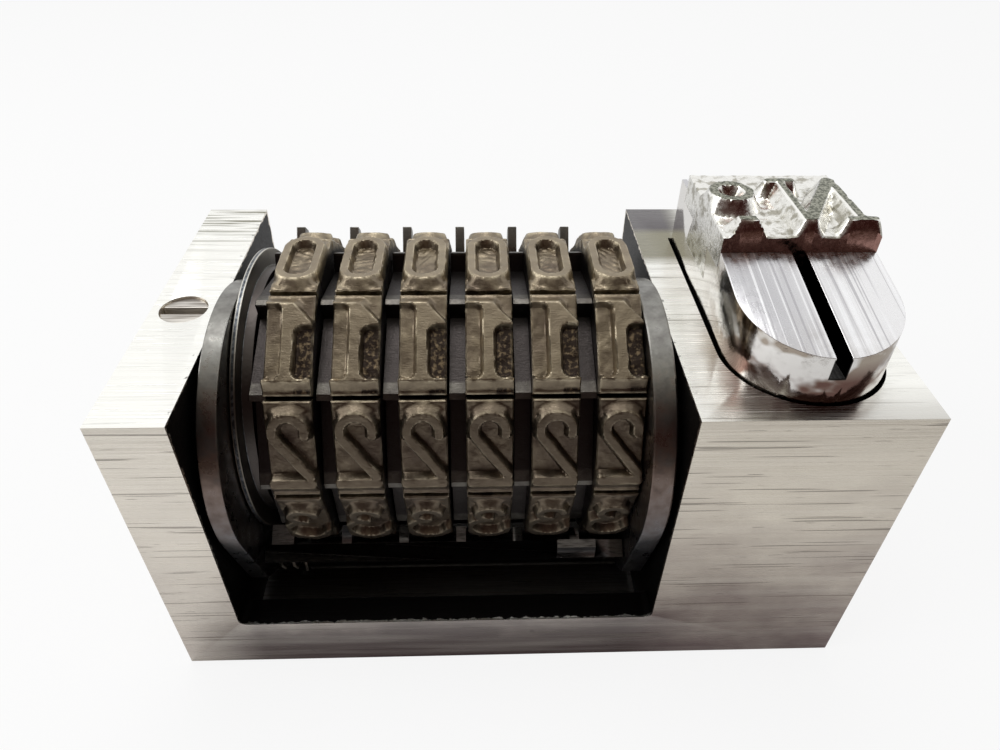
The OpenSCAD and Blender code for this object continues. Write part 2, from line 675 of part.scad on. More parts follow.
module plunger() color([0.82, 0.81, 0.8]) difference() {
    translate([0, 0, plunger_bottom]) linear_extrude(plunger_top - plunger_bottom)
        plunger_plan(plunger_r, plunger_back);
    translate([0, slug_mid, slug_z]) along_x(slot_x0 - cut, slot_x1 + cut) slug_outline(seat_fit);
    // The top falls towards the nose
    translate([slot_x0, slug_y0 - seat_fit, plunger_top]) rotate([nose_fall, 0, 0])
        translate([0, -slot_w, 0]) cube([slot_w, slot_w, travel]);
    // Saw cut in the nose
    block(plunger_cx - cut_w / 2, plunger_cx + cut_w / 2, y_front, slug_y0 + 0.6, plunger_top - cut_d,
        plunger_top + cut);
    for (y = spring_ys) translate([plunger_cx, y, plunger_bottom - cut])
        cylinder(h = spring_bore_top - plunger_bottom + cut, r = spring_bore_r);
    // Groove for the swing's stud
    on_shaft(slot_x0, slot_x0 + slide_gap + stop_depth + 0.2)
        translate([-stud_orbit - stud_r - 0.15, travel / 2 - stud_r - 0.06])
        square([stud_orbit * (1 - cos(stud_angle)) + 2 * stud_r + 0.3, 2 * stud_r + 0.12]);
    // Groove for the stop screw
    block(plunger_cx - stop_r - 0.1, plunger_cx + stop_r + 0.1, plunger_back - stop_depth - 0.2,
        plunger_back + cut, stop_z - stop_r - 0.03, stop_z + stop_r + travel + 0.2);
    y_rod(plunger_cx, slug_mid + 1.9, plunger_back + cut, slug_z - tenon_h / 2, 0.6 + seat_fit);
}

spring_path = curl(spring_r, base_t + spring_wire / 2 + 0.02, spring_bore_top - spring_wire / 2 - 0.02,
    spring_turns);
echo("least gap of a plunger spring to itself", least_gap(spring_path, spring_wire));

module plunger_springs() color([0.6, 0.59, 0.57]) for (y = spring_ys)
    translate([plunger_cx, y, 0]) wire(spring_path, spring_wire / 2, [0, 0, 1]);

module plunger_stop_screw() color([0.6, 0.59, 0.57]) difference() {
    union() {
        y_rod(plunger_cx, slot_back + 0.2, y_back - 0.15, stop_z, stop_r + 0.3);
        y_rod(plunger_cx, plunger_back - stop_depth, slot_back + 0.5, stop_z, stop_r);
    }
    block(plunger_cx - 2, plunger_cx + 2, y_back - 0.8, y_back + cut, stop_z - 0.2, stop_z + 0.2);
}

// The raised sign: a small ring over a bar at the left and a capital N at the right, in mirror
module sign_plan() {
    x0 = slot_x0 + slide_gap;
    front = slug_y0 + 0.35;
    back = front + 5.1;
    leg = 0.4;
    left_leg = x0 + 4.5;
    right_leg = x0 + 7.5;
    ring([x0 + 1.3, back - 1.5], 1.0, 0.5);
    translate([x0 + 0.75, front]) square([1.1, 0.6]);
    translate([left_leg - leg / 2, front]) square([leg, back - front]);
    translate([right_leg - leg / 2, front]) square([leg, back - front]);
    translate([left_leg - 0.8, back - 0.4]) square([1.6, 0.4]);
    translate([right_leg - 0.8, front]) square([1.6, 0.4]);
    polygon([[left_leg - 0.2, front], [left_leg + 0.6, front], [right_leg + 0.3, back],
        [right_leg - 0.5, back]]);
}

module sign_slug() color([0.84, 0.83, 0.82]) {
    x0 = slot_x0 + slide_gap;
    translate([0, slug_mid, slug_z]) along_x(x0, x0 + 2 * plunger_r) slug_outline(0);
    translate([0, 0, slug_top - sign_root]) linear_extrude(sign_relief + sign_root) sign_plan();
}

module slug_screw() color([0.5, 0.49, 0.48]) {
    y_rod(plunger_cx, slug_mid + 2.2, plunger_back - 0.1, slug_z - tenon_h / 2, 0.6);
}

frame();
base_plate();
base_screws();
wheel_shaft();
shaft_lock_screw();
spacer_collar();
figure_wheel(0);  // wheel_1
figure_wheel(1);  // wheel_2
figure_wheel(2);  // wheel_3
figure_wheel(3);  // wheel_4
figure_wheel(4);  // wheel_5
figure_wheel(5);  // wheel_6
swing_left_arm();
swing_right_arm();
swing_tie_bar();
pawl_pin();
drive_stud();
comb_pawl();
comb_pawl_spring();
retaining_rod();
retaining_pawl(0);  // retaining_pawl_1
retaining_pawl(1);  // retaining_pawl_2
retaining_pawl(2);  // retaining_pawl_3
retaining_pawl(3);  // retaining_pawl_4
retaining_pawl(4);  // retaining_pawl_5
retaining_pawl(5);  // retaining_pawl_6
leaf_spring();
leaf_spring_screws();
plunger();
plunger_springs();
plunger_stop_screw();
sign_slug();
slug_screw();
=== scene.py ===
import math

import bmesh
import bpy
import numpy as np
from mathutils import Matrix, Vector


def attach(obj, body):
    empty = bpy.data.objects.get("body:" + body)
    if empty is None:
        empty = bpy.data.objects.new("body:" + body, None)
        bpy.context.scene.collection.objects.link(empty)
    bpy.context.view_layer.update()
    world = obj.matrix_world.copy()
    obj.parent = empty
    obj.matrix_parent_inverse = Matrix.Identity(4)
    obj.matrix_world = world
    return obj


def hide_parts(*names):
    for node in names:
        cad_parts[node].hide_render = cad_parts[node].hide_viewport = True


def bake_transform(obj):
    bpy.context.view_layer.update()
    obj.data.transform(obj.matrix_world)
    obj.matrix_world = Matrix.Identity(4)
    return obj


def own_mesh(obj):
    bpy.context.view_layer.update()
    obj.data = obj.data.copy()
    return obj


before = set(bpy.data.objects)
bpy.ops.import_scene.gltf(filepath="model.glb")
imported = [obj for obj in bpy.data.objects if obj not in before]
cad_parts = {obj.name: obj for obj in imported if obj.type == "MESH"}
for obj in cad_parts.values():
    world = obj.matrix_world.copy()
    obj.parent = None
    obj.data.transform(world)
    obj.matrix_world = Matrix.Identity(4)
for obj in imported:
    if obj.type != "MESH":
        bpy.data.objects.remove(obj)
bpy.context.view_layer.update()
MM = 0.001

# The frame is one block of steel, milled open for the wheels and the plunger, brushed and then plated with bright
# nickel. The plate keeps the brush lines, which run along the block, and it is scratched and tarnished at the front.
# Its edges are broken by a touch of the file, and the mill has left a burr round the wheel window.
EDGE_MM = 0.07
FLAT_DEG = 0.6
LEAST_TURN_DEG = 28
SMOOTH_DEG = 24


def softened(node, edge_mm, name=None, body="root"):
    """The piece of that node with its flats made whole and its edges broken."""
    body_mesh = bmesh.new()
    body_mesh.from_mesh(bpy.data.objects[node].data)
    bmesh.ops.remove_doubles(body_mesh, verts=body_mesh.verts, dist=2e-7)
    bmesh.ops.dissolve_limit(body_mesh, angle_limit=math.radians(FLAT_DEG), verts=body_mesh.verts,
                             edges=body_mesh.edges, delimit=set())
    if edge_mm:
        corners = [edge for edge in body_mesh.edges if edge.is_manifold
                   and edge.calc_face_angle(0) > math.radians(LEAST_TURN_DEG)]
        bmesh.ops.bevel(body_mesh, geom=corners, offset=edge_mm * MM, segments=2, profile=0.5,
                        affect="EDGES", clamp_overlap=True)
    bmesh.ops.recalc_face_normals(body_mesh, faces=body_mesh.faces)
    mesh = bpy.data.meshes.new(name or node + "_piece")
    body_mesh.to_mesh(mesh)
    body_mesh.free()
    return placed(mesh, body, [node])


def placed(mesh, body, nodes):
    """A piece of that mesh, smooth where it curves, on its body and in the place of its nodes."""
    for face in mesh.polygons:
        face.use_smooth = True
    mesh.set_sharp_from_angle(angle=math.radians(SMOOTH_DEG))
    piece = bpy.data.objects.new(mesh.name, mesh)
    bpy.context.scene.collection.objects.link(piece)
    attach(piece, body)
    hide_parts(*nodes)
    return piece


class Finish:
    """A surface finish, built up from layers that lie in the piece's own place in the object."""

    def __init__(self, name, colour, roughness, metallic=1.0):
        self.material = bpy.data.materials.new(name)
        self.material.use_nodes = True
        self.nodes = self.material.node_tree.nodes
        self.links = self.material.node_tree.links
        self.surface = self.nodes["Principled BSDF"]
        self.surface.inputs["Base Color"].default_value = (*colour, 1)
        self.surface.inputs["Roughness"].default_value = roughness
        self.surface.inputs["Metallic"].default_value = metallic
        self.place = self.nodes.new("ShaderNodeTexCoord").outputs["Object"]
        self.height = None

    def node(self, kind, *inputs, **settings):
        """A shader node of that kind, with its inputs linked or set in their order."""
        node = self.nodes.new(kind)
        for key, value in settings.items():
            setattr(node, key, value)
        for index, value in enumerate(inputs):
            if isinstance(value, bpy.types.NodeSocket):
                self.links.new(value, node.inputs[index])
            elif value is not None:
                node.inputs[index].default_value = value
        return node

    def grain(self, per_mm, detail=3.0, turn=(0, 0, 0)):
        """Noise with that many waves per millimetre along X, Y and Z."""
        mapping = self.node("ShaderNodeMapping", self.place)
        mapping.inputs["Rotation"].default_value = [math.radians(a) for a in turn]
        mapping.inputs["Scale"].default_value = [w / MM for w in per_mm]
        noise = self.node("ShaderNodeTexNoise", mapping.outputs[0])
        noise.inputs["Scale"].default_value = 1.0
        noise.inputs["Detail"].default_value = detail
        noise.inputs["Roughness"].default_value = 0.55
        return noise.outputs["Fac"]

    def fade(self, value, start, end, to_start=0.0, to_end=1.0):
        """The value carried from one range to another, and held at its ends."""
        return self.node("ShaderNodeMapRange", value, start, end, to_start, to_end).outputs[0]

    def maths(self, operation, a, b=None):
        return self.node("ShaderNodeMath", a, b, operation=operation).outputs[0]

    def blended(self, share, a, b):
        """Colour a where share is 0 and colour b where it is 1."""
        mix = self.nodes.new("ShaderNodeMix")
        mix.data_type = "RGBA"
        self.links.new(share, mix.inputs["Factor"])
        for socket, value in ((mix.inputs[6], a), (mix.inputs[7], b)):
            if isinstance(value, bpy.types.NodeSocket):
                self.links.new(value, socket)
            else:
                socket.default_value = (*value, 1)
        return mix.outputs[2]

    def part_of(self, axis):
        """The object's place along one axis, in millimetres."""
        split = self.node("ShaderNodeSeparateXYZ", self.place)
        return self.maths("MULTIPLY", split.outputs[axis], 1 / MM)

    def towards(self, axis):
        """The surface normal's part along one axis of the object."""
        normal = self.node("ShaderNodeTexCoord").outputs["Normal"]
        return self.node("ShaderNodeSeparateXYZ", normal).outputs[axis]

    def facing(self, axis):
        """How much the surface faces along one axis, either way."""
        return self.maths("ABSOLUTE", self.towards(axis))

    def colour(self, socket):
        self.links.new(socket, self.surface.inputs["Base Color"])

    def rough(self, socket):
        self.links.new(socket, self.surface.inputs["Roughness"])

    def relief(self, socket, depth_mm):
        """Raises the surface by that depth where the socket is 1."""
        bump = self.nodes.new("ShaderNodeBump")
        bump.inputs["Strength"].default_value = 1.0
        bump.inputs["Distance"].default_value = depth_mm * MM
        self.links.new(socket, bump.inputs["Height"])
        if self.height is not None:
            self.links.new(self.height, bump.inputs["Normal"])
        self.height = bump.outputs[0]
        self.links.new(self.height, self.surface.inputs["Normal"])


def on(piece, finish):
    """The piece, with that finish as its only material."""
    piece.data.materials.clear()
    piece.data.materials.append(finish.material)
    return piece


# The top's and the sides' tones are a lit and a shaded copy of the one nickel plate: painted light on the top, painted
# shade on the sides.
PLATE_TOP_PAINTED_LIT = (0.95, 0.945, 0.90)
PLATE_SIDE_PAINTED_SHADE = (0.80, 0.73, 0.62)
PLATE_LOW_PAINTED_SHADE = (0.20, 0.145, 0.14)
PLATE_SCRATCH = (0.10, 0.075, 0.055)
REFLECTED_SHADE_PAINT = (0.06, 0.033, 0.033)
OLIVE_STREAK = (0.20, 0.19, 0.13)
PAINTED_ROOM_SHADE = (0.012, 0.011, 0.011)
ROOM_X0, ROOM_X1 = -17.07, 8.65
HALF_DEPTH = 11.25
TOP_Z = 20.9
SLOT_X0, SLOT_X1 = 10.8, 19.8
SLOT_Y0 = -10.3

nickel = Finish("brushed_nickel_plate", PLATE_TOP_PAINTED_LIT, 0.3)
x_mm, y_mm, z_mm = nickel.part_of(0), nickel.part_of(1), nickel.part_of(2)
lines = nickel.grain((0.09, 11, 11), 4)
broad = nickel.grain((0.06, 1.3, 1.3), 3)
cloud = nickel.grain((0.22, 0.3, 0.3), 3)
burr = nickel.grain((2.2, 2.2, 2.2), 3)
front_face = nickel.facing(1)
painted_lit_top = nickel.facing(2)

# The brushed top, with thin dark lines and olive streaks towards the back
line_share = nickel.maths("MULTIPLY", nickel.fade(x_mm, 5, 9, 0.25, 1.0), nickel.fade(x_mm, 19, 14, 0.35, 1.0))
thin_lines = nickel.fade(nickel.grain((0.16, 7, 7), 2, (0, 0, 3)), 0.6, 0.67)
streaks = nickel.fade(nickel.grain((0.12, 3.2, 3.2), 3, (0, 0, 3)), 0.5, 0.62)
top_tone = nickel.blended(nickel.maths("MULTIPLY", nickel.fade(broad, 0.4, 0.75, 0, 0.5), line_share), PLATE_TOP_PAINTED_LIT,
                          (0.60, 0.58, 0.52))
top_tone = nickel.blended(nickel.maths("MULTIPLY", thin_lines, nickel.maths("MULTIPLY", line_share, 0.7)), top_tone,
                          (0.16, 0.14, 0.11))
top_tone = nickel.blended(nickel.maths("MULTIPLY", streaks, nickel.fade(y_mm, 4.5, 9.5)), top_tone, OLIVE_STREAK)
front_edge = nickel.maths("MULTIPLY", nickel.fade(x_mm, 8, 11), nickel.fade(y_mm, -8.5, -11))
top_tone = nickel.blended(nickel.maths("MULTIPLY", front_edge, 0.5), top_tone, (0.40, 0.38, 0.35))
by_slot = nickel.maths("MULTIPLY", nickel.fade(x_mm, 8, 8.6), nickel.fade(x_mm, 12.5, 11))
for start, end, slot_tone in ((3.4, 4.6, (0.28, 0.265, 0.20)), (7.6, 8.4, (0.13, 0.12, 0.125))):
    top_tone = nickel.blended(nickel.maths("MULTIPLY", by_slot, nickel.fade(y_mm, start, end)), top_tone, slot_tone)

# The sides, scratched, with painted shade: warmer and darker than the top, and darker still towards the bottom
height = nickel.maths("ADD", z_mm, nickel.fade(cloud, 0.25, 0.75, -3.5, 3.5))
side_tone = nickel.blended(nickel.fade(height, 17.5, 0), PLATE_SIDE_PAINTED_SHADE, PLATE_LOW_PAINTED_SHADE)
side_tone = nickel.blended(nickel.maths("MULTIPLY", nickel.fade(x_mm, -12, -18), 0.55), side_tone, (0.88, 0.82, 0.73))
by_window = nickel.maths("MULTIPLY", nickel.fade(x_mm, 12, 7), nickel.fade(x_mm, -20.5, -16))
# Painted shade: the lower front and back below the window are painted dark red-brown, as a painted reflection of the
# shaded table.
low = nickel.maths("MULTIPLY", by_window, nickel.fade(nickel.maths("ADD", z_mm, nickel.fade(cloud, 0.3, 0.7, -1, 1)),
                                                      6.5, 2.8))
side_tone = nickel.blended(nickel.maths("MULTIPLY", low, 0.92), side_tone, REFLECTED_SHADE_PAINT)
side_tone = nickel.blended(nickel.fade(broad, 0.45, 0.75, 0, 0.2), side_tone, (0.85, 0.80, 0.72))
scratches = nickel.maths("MAXIMUM", nickel.fade(nickel.grain((0.09, 5.5, 6.5), 1, (0, 4, 0)), 0.66, 0.69),
                         nickel.fade(nickel.grain((0.4, 12, 12), 1, (0, -9, 0)), 0.71, 0.74))
side_tone = nickel.blended(nickel.maths("MULTIPLY", scratches, 0.6), side_tone, PLATE_SCRATCH)
# Faces that point up or down take the top's tone, painted lighter than the sides as painted light.
tone = nickel.blended(painted_lit_top, side_tone, top_tone)

# Inside the wheel room the steel is painted black as shade, up to a ragged edge at the window
ragged = nickel.fade(burr, 0.3, 0.7, -0.12, 0.12)
from_wall = nickel.maths("MINIMUM", nickel.maths("SUBTRACT", x_mm, ROOM_X0 - 0.3),
                         nickel.maths("SUBTRACT", ROOM_X1 + 0.3, x_mm))
deep = nickel.maths("SUBTRACT", HALF_DEPTH - 0.14, nickel.maths("ABSOLUTE", y_mm))
under = nickel.maths("SUBTRACT", TOP_Z - 0.1, z_mm)
painted_shade_in_room = nickel.maths("ADD", nickel.maths("MINIMUM", deep, under), ragged)
painted_shade_in_room = nickel.fade(nickel.maths("MINIMUM", from_wall, painted_shade_in_room), -0.03, 0.03)
# Painted shade: the walls inside the plunger's slot, below the top, are painted near black.
from_side = nickel.maths("MINIMUM", nickel.maths("SUBTRACT", x_mm, SLOT_X0 - 0.05),
                         nickel.maths("SUBTRACT", SLOT_X1 + 0.05, x_mm))
painted_shade_in_slot = nickel.maths("MINIMUM", nickel.maths("MINIMUM", from_side, nickel.maths("SUBTRACT", y_mm, SLOT_Y0)), under)
painted_shade_in_slot = nickel.maths("MULTIPLY", nickel.fade(painted_shade_in_slot, -0.02, 0.02),
                       nickel.fade(nickel.maths("ABSOLUTE", y_mm), HALF_DEPTH - 0.02, HALF_DEPTH - 0.2))
tone = nickel.blended(nickel.maths("MULTIPLY", painted_shade_in_slot, 0.9), tone, (0.05, 0.045, 0.035))
tone = nickel.blended(painted_shade_in_room, tone, PAINTED_ROOM_SHADE)
nickel.colour(tone)
nickel.rough(nickel.maths("ADD", nickel.fade(lines, 0.3, 0.75, 0.2, 0.4), nickel.maths("MULTIPLY", painted_shade_in_room, 0.2)))
nickel.relief(lines, 0.006)
nickel.relief(scratches, -0.006)
nickel.relief(nickel.grain((1.1, 1.1, 1.1), 2), 0.01)

on(softened("frame", EDGE_MM, "frame_block"), nickel)

# The base plate closes the bottom of the frame. It is ground steel, held by four countersunk screws whose heads lie
# flush, so that the machine stands flat on the bed of the press.
ground = Finish("ground_base_steel", (0.55, 0.54, 0.52), 0.35)
ground_lines = ground.grain((0.2, 9, 9), 3)
ground.colour(ground.blended(ground.fade(ground_lines, 0.35, 0.7), (0.6, 0.59, 0.57), (0.38, 0.36, 0.33)))
ground.rough(ground.fade(ground_lines, 0.3, 0.7, 0.25, 0.5))
ground.relief(ground_lines, 0.008)

turned = Finish("turned_screw_steel", (0.3, 0.29, 0.28), 0.4)
turned_marks = turned.grain((6, 6, 6), 3)
turned.colour(turned.blended(turned.fade(turned_marks, 0.4, 0.7), (0.34, 0.33, 0.31), (0.12, 0.1, 0.09)))
turned.rough(turned.fade(turned_marks, 0.3, 0.7, 0.25, 0.55))
turned.relief(turned_marks, 0.012)

on(softened("base_plate", 0.05), ground)
on(softened("base_screws", 0.03), turned)

# The wheel shaft is a ground steel bar through both walls, slotted at its left end. A screw in the left wall's top
# bears on it and keeps it from turning, and its slotted head lies just under the surface.
shaft_steel = Finish("ground_shaft_steel", (0.5, 0.5, 0.5), 0.3)
shaft_marks = shaft_steel.grain((8, 2, 2), 3)
shaft_steel.colour(shaft_steel.blended(shaft_steel.fade(shaft_marks, 0.4, 0.7), (0.55, 0.54, 0.53),
                                       (0.3, 0.28, 0.26)))
shaft_steel.rough(shaft_steel.fade(shaft_marks, 0.3, 0.7, 0.2, 0.45))
shaft_steel.relief(shaft_marks, 0.006)
on(softened("wheel_shaft", 0.05), shaft_steel)

lock_steel = Finish("lock_screw_steel", (0.6, 0.57, 0.52), 0.3)
lock_marks = lock_steel.grain((0.4, 10, 10), 3)
lock_steel.colour(lock_steel.blended(lock_steel.fade(lock_marks, 0.4, 0.65), (0.66, 0.63, 0.58),
                                     (0.25, 0.22, 0.19)))
lock_steel.relief(lock_marks, 0.01)
on(softened("shaft_lock_screw", 0.08), lock_steel)

# Each figure wheel is a bronze-brown steel ring. Ten figures stand on it, cut round by hand-guided cutters, and its
# left side is the ratchet that the pawls work on. Handling has polished the figures' edges; a gold highlight is painted
# on them.
WHEELS = 6
FIGURES = 10
FIGURE_TURN = 360 / FIGURES
PITCH_MM = 3.61
FIRST_RATCHET_X = -14.63
RATCHET_T = 0.95
BLOCK_W = 2.58
AXIS_Y, AXIS_Z = 0.5, 13.517
FACE_R = 9.8
CUT_D = 0.5
HALF_L = 2.85
GROOVE_R = 8.77
BORE_R = 2.45
RATCHET_R = 8.9
TOOTH_D = 1.15
TOOTH_LAND = 0.35
FIRST_TOOTH_DEG = 1
FIGURE_H = 4.3
FIGURE_W = 2.1
STROKE = 0.46
GRID_MM = 0.07
WAVE_TERMS = 7


def arc(x, y, r, start, end, steps=14):
    """Points on an arc, its angles in degrees."""
    angles = np.radians(np.linspace(start, end, steps))
    return np.stack([x + r * np.cos(angles), y + r * np.sin(angles)], 1)


def figure_lines(k):
    """The middle lines of a figure's strokes, read upright, each with the half width of its stroke."""
    s = STROKE / 2
    r = FIGURE_W / 2 - s
    top = FIGURE_H / 2 - s
    if k == 0:
        r, top = 0.95, 2.15
        ring = np.vstack([arc(0, top - r, r, 0, 180), arc(0, r - top, r, 180, 360), [[r, top - r]]])
        return [(ring, s)]
    if k == 2:
        hook = np.vstack([arc(0, 1.2, 0.88, 195, -25), [[-1.0, -1.5]]])
        return [(hook, 0.25), (np.array([[-1.05, -1.9], [1.05, -1.9]]), 0.27)]
    if k == 3:
        u = r * 0.86
        low = top - u
        return [(arc(0, top - u, u, 170, -90), s), (arc(0, low - top, low, 90, -165), s)]
    if k == 4:
        return [(np.array([[r * 0.5, -top], [r * 0.5, top]]), s),
                (np.array([[r, -0.8], [-r, -0.8], [r * 0.4, top]]), s)]
    if k == 5:
        return [(np.array([[r, top], [-r, top], [-r, 0.2], [-0.2, 0.45]]), s),
                (arc(0, r - top, r, 150, -165), s)]
    if k in (6, 9):
        turn = 1 if k == 6 else -1
        ring = arc(0, r - top, r, 0, 360, 24)
        tail = np.vstack([[[-r, r - top]], arc(0, top - r, r, 180, 25)])
        return [(ring * turn, s), (tail * turn, s)]
    if k == 7:
        return [(np.array([[-r, top], [r, top], [-r * 0.3, -top]]), s)]
    u = r * 0.9
    low = top - u
    return [(arc(0, top - u, u, 0, 360, 24), s), (arc(0, low - top, low, 0, 360, 24), s)]


def from_line(x, y, line):
    """Distance from each place to a line of points."""
    best = np.full(x.shape, 1e9)
    for (ax, ay), (bx, by) in zip(line[:-1], line[1:]):
        dx, dy = bx - ax, by - ay
        t = np.clip(((x - ax) * dx + (y - ay) * dy) / max(dx * dx + dy * dy, 1e-9), 0, 1)
        best = np.minimum(best, np.hypot(x - ax - t * dx, y - ay - t * dy))
    return best


def outside_figure(k, x, y):
    """How far each place lies outside the raised strokes. Inside them it is below zero."""
    if k == 1:
        # A long channel beside the stem, a round-ended one under the flag, and a slanted cut over it
        long_cut = 0.52 - from_line(x, y, np.array([[0.85, -1.6], [0.85, 1.75], [1.4, 1.75], [1.4, -1.6]]))
        under_flag = 0.54 - from_line(x, y, np.array([[-0.8, -1.55], [-0.8, 0.42], [-1.4, 0.42], [-1.4, -1.55]]))
        over_flag = 0.683 * (y - 2.45) - 0.731 * x
        return np.max([long_cut, under_flag, over_flag, np.abs(y) - 2.22], axis=0)
    return np.min([from_line(x, y, line) - s for line, s in figure_lines(k)], axis=0)


def waves(x, y, seed, size):
    """A smooth irregular surface between -1 and 1."""
    rng = np.random.default_rng(seed)
    total = np.zeros(x.shape)
    for _ in range(WAVE_TERMS):
        angle = rng.uniform(0, 2 * math.pi)
        length = size * rng.uniform(0.6, 1.8)
        total += np.sin(2 * math.pi * (x * math.cos(angle) + y * math.sin(angle)) / length + rng.uniform(0, 6.3))
    return total / WAVE_TERMS * 1.6


def wheel_mesh(i):
    """A wheel's ring with its ten figures, mirrored like type, and the ratchet at its left."""
    nu = int(BLOCK_W / GRID_MM) + 1
    nv = int(2 * HALF_L / GRID_MM) + 1
    u = np.linspace(-BLOCK_W / 2, BLOCK_W / 2, nu)
    v = np.linspace(HALF_L, -HALF_L, nv)
    gu, gv = np.meshgrid(u, v, indexing="ij")
    x_mid = FIRST_RATCHET_X + i * PITCH_MM + RATCHET_T + BLOCK_W / 2
    rows, shine = [], []
    for k in range(FIGURES):
        seed = 97 * i + 13 * k
        wobble = 0.025 * waves(gu, gv, seed + 1, 1.2)
        d = outside_figure(k, -gu, gv) + wobble
        ends = np.clip((np.abs(gv) - 1.95) / 0.35, 0, 1)
        flank = 0.2 + 0.3 * ends * (d > 0)
        rough_floor = 0.12 if k == 0 else 0.03
        floor = 1 - rough_floor * np.abs(waves(gu, gv, seed + 2, 0.7)) - 0.05 * waves(gu, gv, seed + 3, 1.9)
        drop = np.clip(d / flank + 0.1, 0, 1)
        drop = drop * drop * (3 - 2 * drop) * 0.5 + drop * 0.5
        high = FACE_R - CUT_D * drop * floor + 0.012 * waves(gu, gv, seed + 4, 0.9)
        rim = np.minimum(BLOCK_W / 2 - np.abs(gu), HALF_L - np.abs(gv))
        high = high - 0.09 * np.clip(1 - rim / 0.12, 0, 1) ** 2
        angle = math.radians(FIGURE_TURN * k)
        y = AXIS_Y + gv * math.cos(angle) - high * math.sin(angle)
        z = AXIS_Z + gv * math.sin(angle) + high * math.cos(angle)
        rows.append(np.stack([x_mid + gu, y, z], -1))
        edge = np.exp(-((d - 0.01) / 0.045) ** 2) + 0.7 * np.exp(-(rim / 0.06) ** 2)
        rust = (0.9 * (k == 1)) * np.clip((gu - 0.3) / 0.1, 0, 1) * np.clip((0.95 - gv) / 0.1, 0, 1) * drop
        shine.append(np.stack([1 - drop - rust, np.clip(edge, 0, 1)], -1))
        half = math.radians(FIGURE_TURN * k + FIGURE_TURN / 2)
        low = np.stack([x_mid + u, np.full(nu, AXIS_Y - GROOVE_R * math.sin(half)),
                        np.full(nu, AXIS_Z + GROOVE_R * math.cos(half))], -1)[:, None]
        rows.append(low)
        shine.append(np.zeros((nu, 1, 2)))
    shell = np.concatenate(rows, 1)
    marks = np.concatenate(shine, 1)
    around = shell.shape[1]
    angles = np.arctan2(shell[0, :, 2] - AXIS_Z, -(shell[0, :, 1] - AXIS_Y))
    bore = np.stack([np.zeros(around), AXIS_Y - BORE_R * np.cos(angles), AXIS_Z + BORE_R * np.sin(angles)], -1)
    left, right = bore.copy(), bore.copy()
    left[:, 0] = x_mid - BLOCK_W / 2
    right[:, 0] = x_mid + BLOCK_W / 2
    loops = np.concatenate([left[None], shell, right[None]], 0)
    marks = np.concatenate([np.zeros((1, around, 2)), marks, np.zeros((1, around, 2))], 0)
    verts, faces = rolled(loops)
    ratchet_verts, ratchet_faces = ratchet_shell(i)
    faces = np.concatenate([faces, ratchet_faces + len(verts)])
    tips = np.hypot(ratchet_verts[:, 1] - AXIS_Y, ratchet_verts[:, 2] - AXIS_Z) > RATCHET_R - 0.3
    marks = np.concatenate([marks.reshape(-1, 2), np.stack([0 * tips, 2.0 * tips], -1)])
    verts = np.concatenate([verts, ratchet_verts])
    mesh = bpy.data.meshes.new(f"figure_wheel_{i + 1}")
    mesh.from_pydata((verts * MM).tolist(), [], faces.tolist())
    for name, column in (("face_height", 0), ("worn_edge_and_highlight", 1)):
        layer = mesh.attributes.new(name, "FLOAT", "POINT")
        layer.data.foreach_set("value", marks[:, column].astype(np.float32))
    return mesh


def rolled(loops):
    """Faces between closed loops of points, where the last loop joins the first."""
    count, around = loops.shape[:2]
    index = np.arange(count * around).reshape(count, around)
    following = np.roll(index, -1, 0)
    quads = np.stack([index, np.roll(index, -1, 1), np.roll(following, -1, 1), following], -1)
    return loops.reshape(-1, 3), quads.reshape(-1, 4)


def ratchet_shell(i):
    """Saw teeth whose steep sides face down at the front, as a closed ring."""
    land = math.degrees(TOOTH_LAND / RATCHET_R)
    root = RATCHET_R - TOOTH_D
    corners = []
    for k in range(FIGURES, 0, -1):
        a = FIRST_TOOTH_DEG + FIGURE_TURN * k
        corners += [(RATCHET_R, a), (RATCHET_R, a - land), (root, a - land - 1)]
    points = []
    for (r0, a0), (r1, a1) in zip(corners, corners[1:] + [(RATCHET_R, FIRST_TOOTH_DEG)]):
        p = np.array([-r0 * math.cos(math.radians(a0)), r0 * math.sin(math.radians(a0))])
        q = np.array([-r1 * math.cos(math.radians(a1)), r1 * math.sin(math.radians(a1))])
        steps = max(1, int(np.linalg.norm(q - p) / 0.3))
        points += [p + (q - p) * t / steps for t in range(steps)]
    profile = np.array(points)
    radius = np.linalg.norm(profile, axis=1, keepdims=True)
    x0 = FIRST_RATCHET_X + i * PITCH_MM
    loops = []
    for x, inset in ((x0, None), (x0, 0.05), (x0 + 0.05, 0), (x0 + RATCHET_T - 0.03, 0),
                     (x0 + RATCHET_T + 0.01, 0.04), (x0 + RATCHET_T + 0.01, None)):
        ring = profile * (BORE_R / radius) if inset is None else profile * (1 - inset / radius)
        loops.append(np.column_stack([np.full(len(ring), x), ring[:, 0] + AXIS_Y, ring[:, 1] + AXIS_Z]))
    return rolled(np.array(loops))


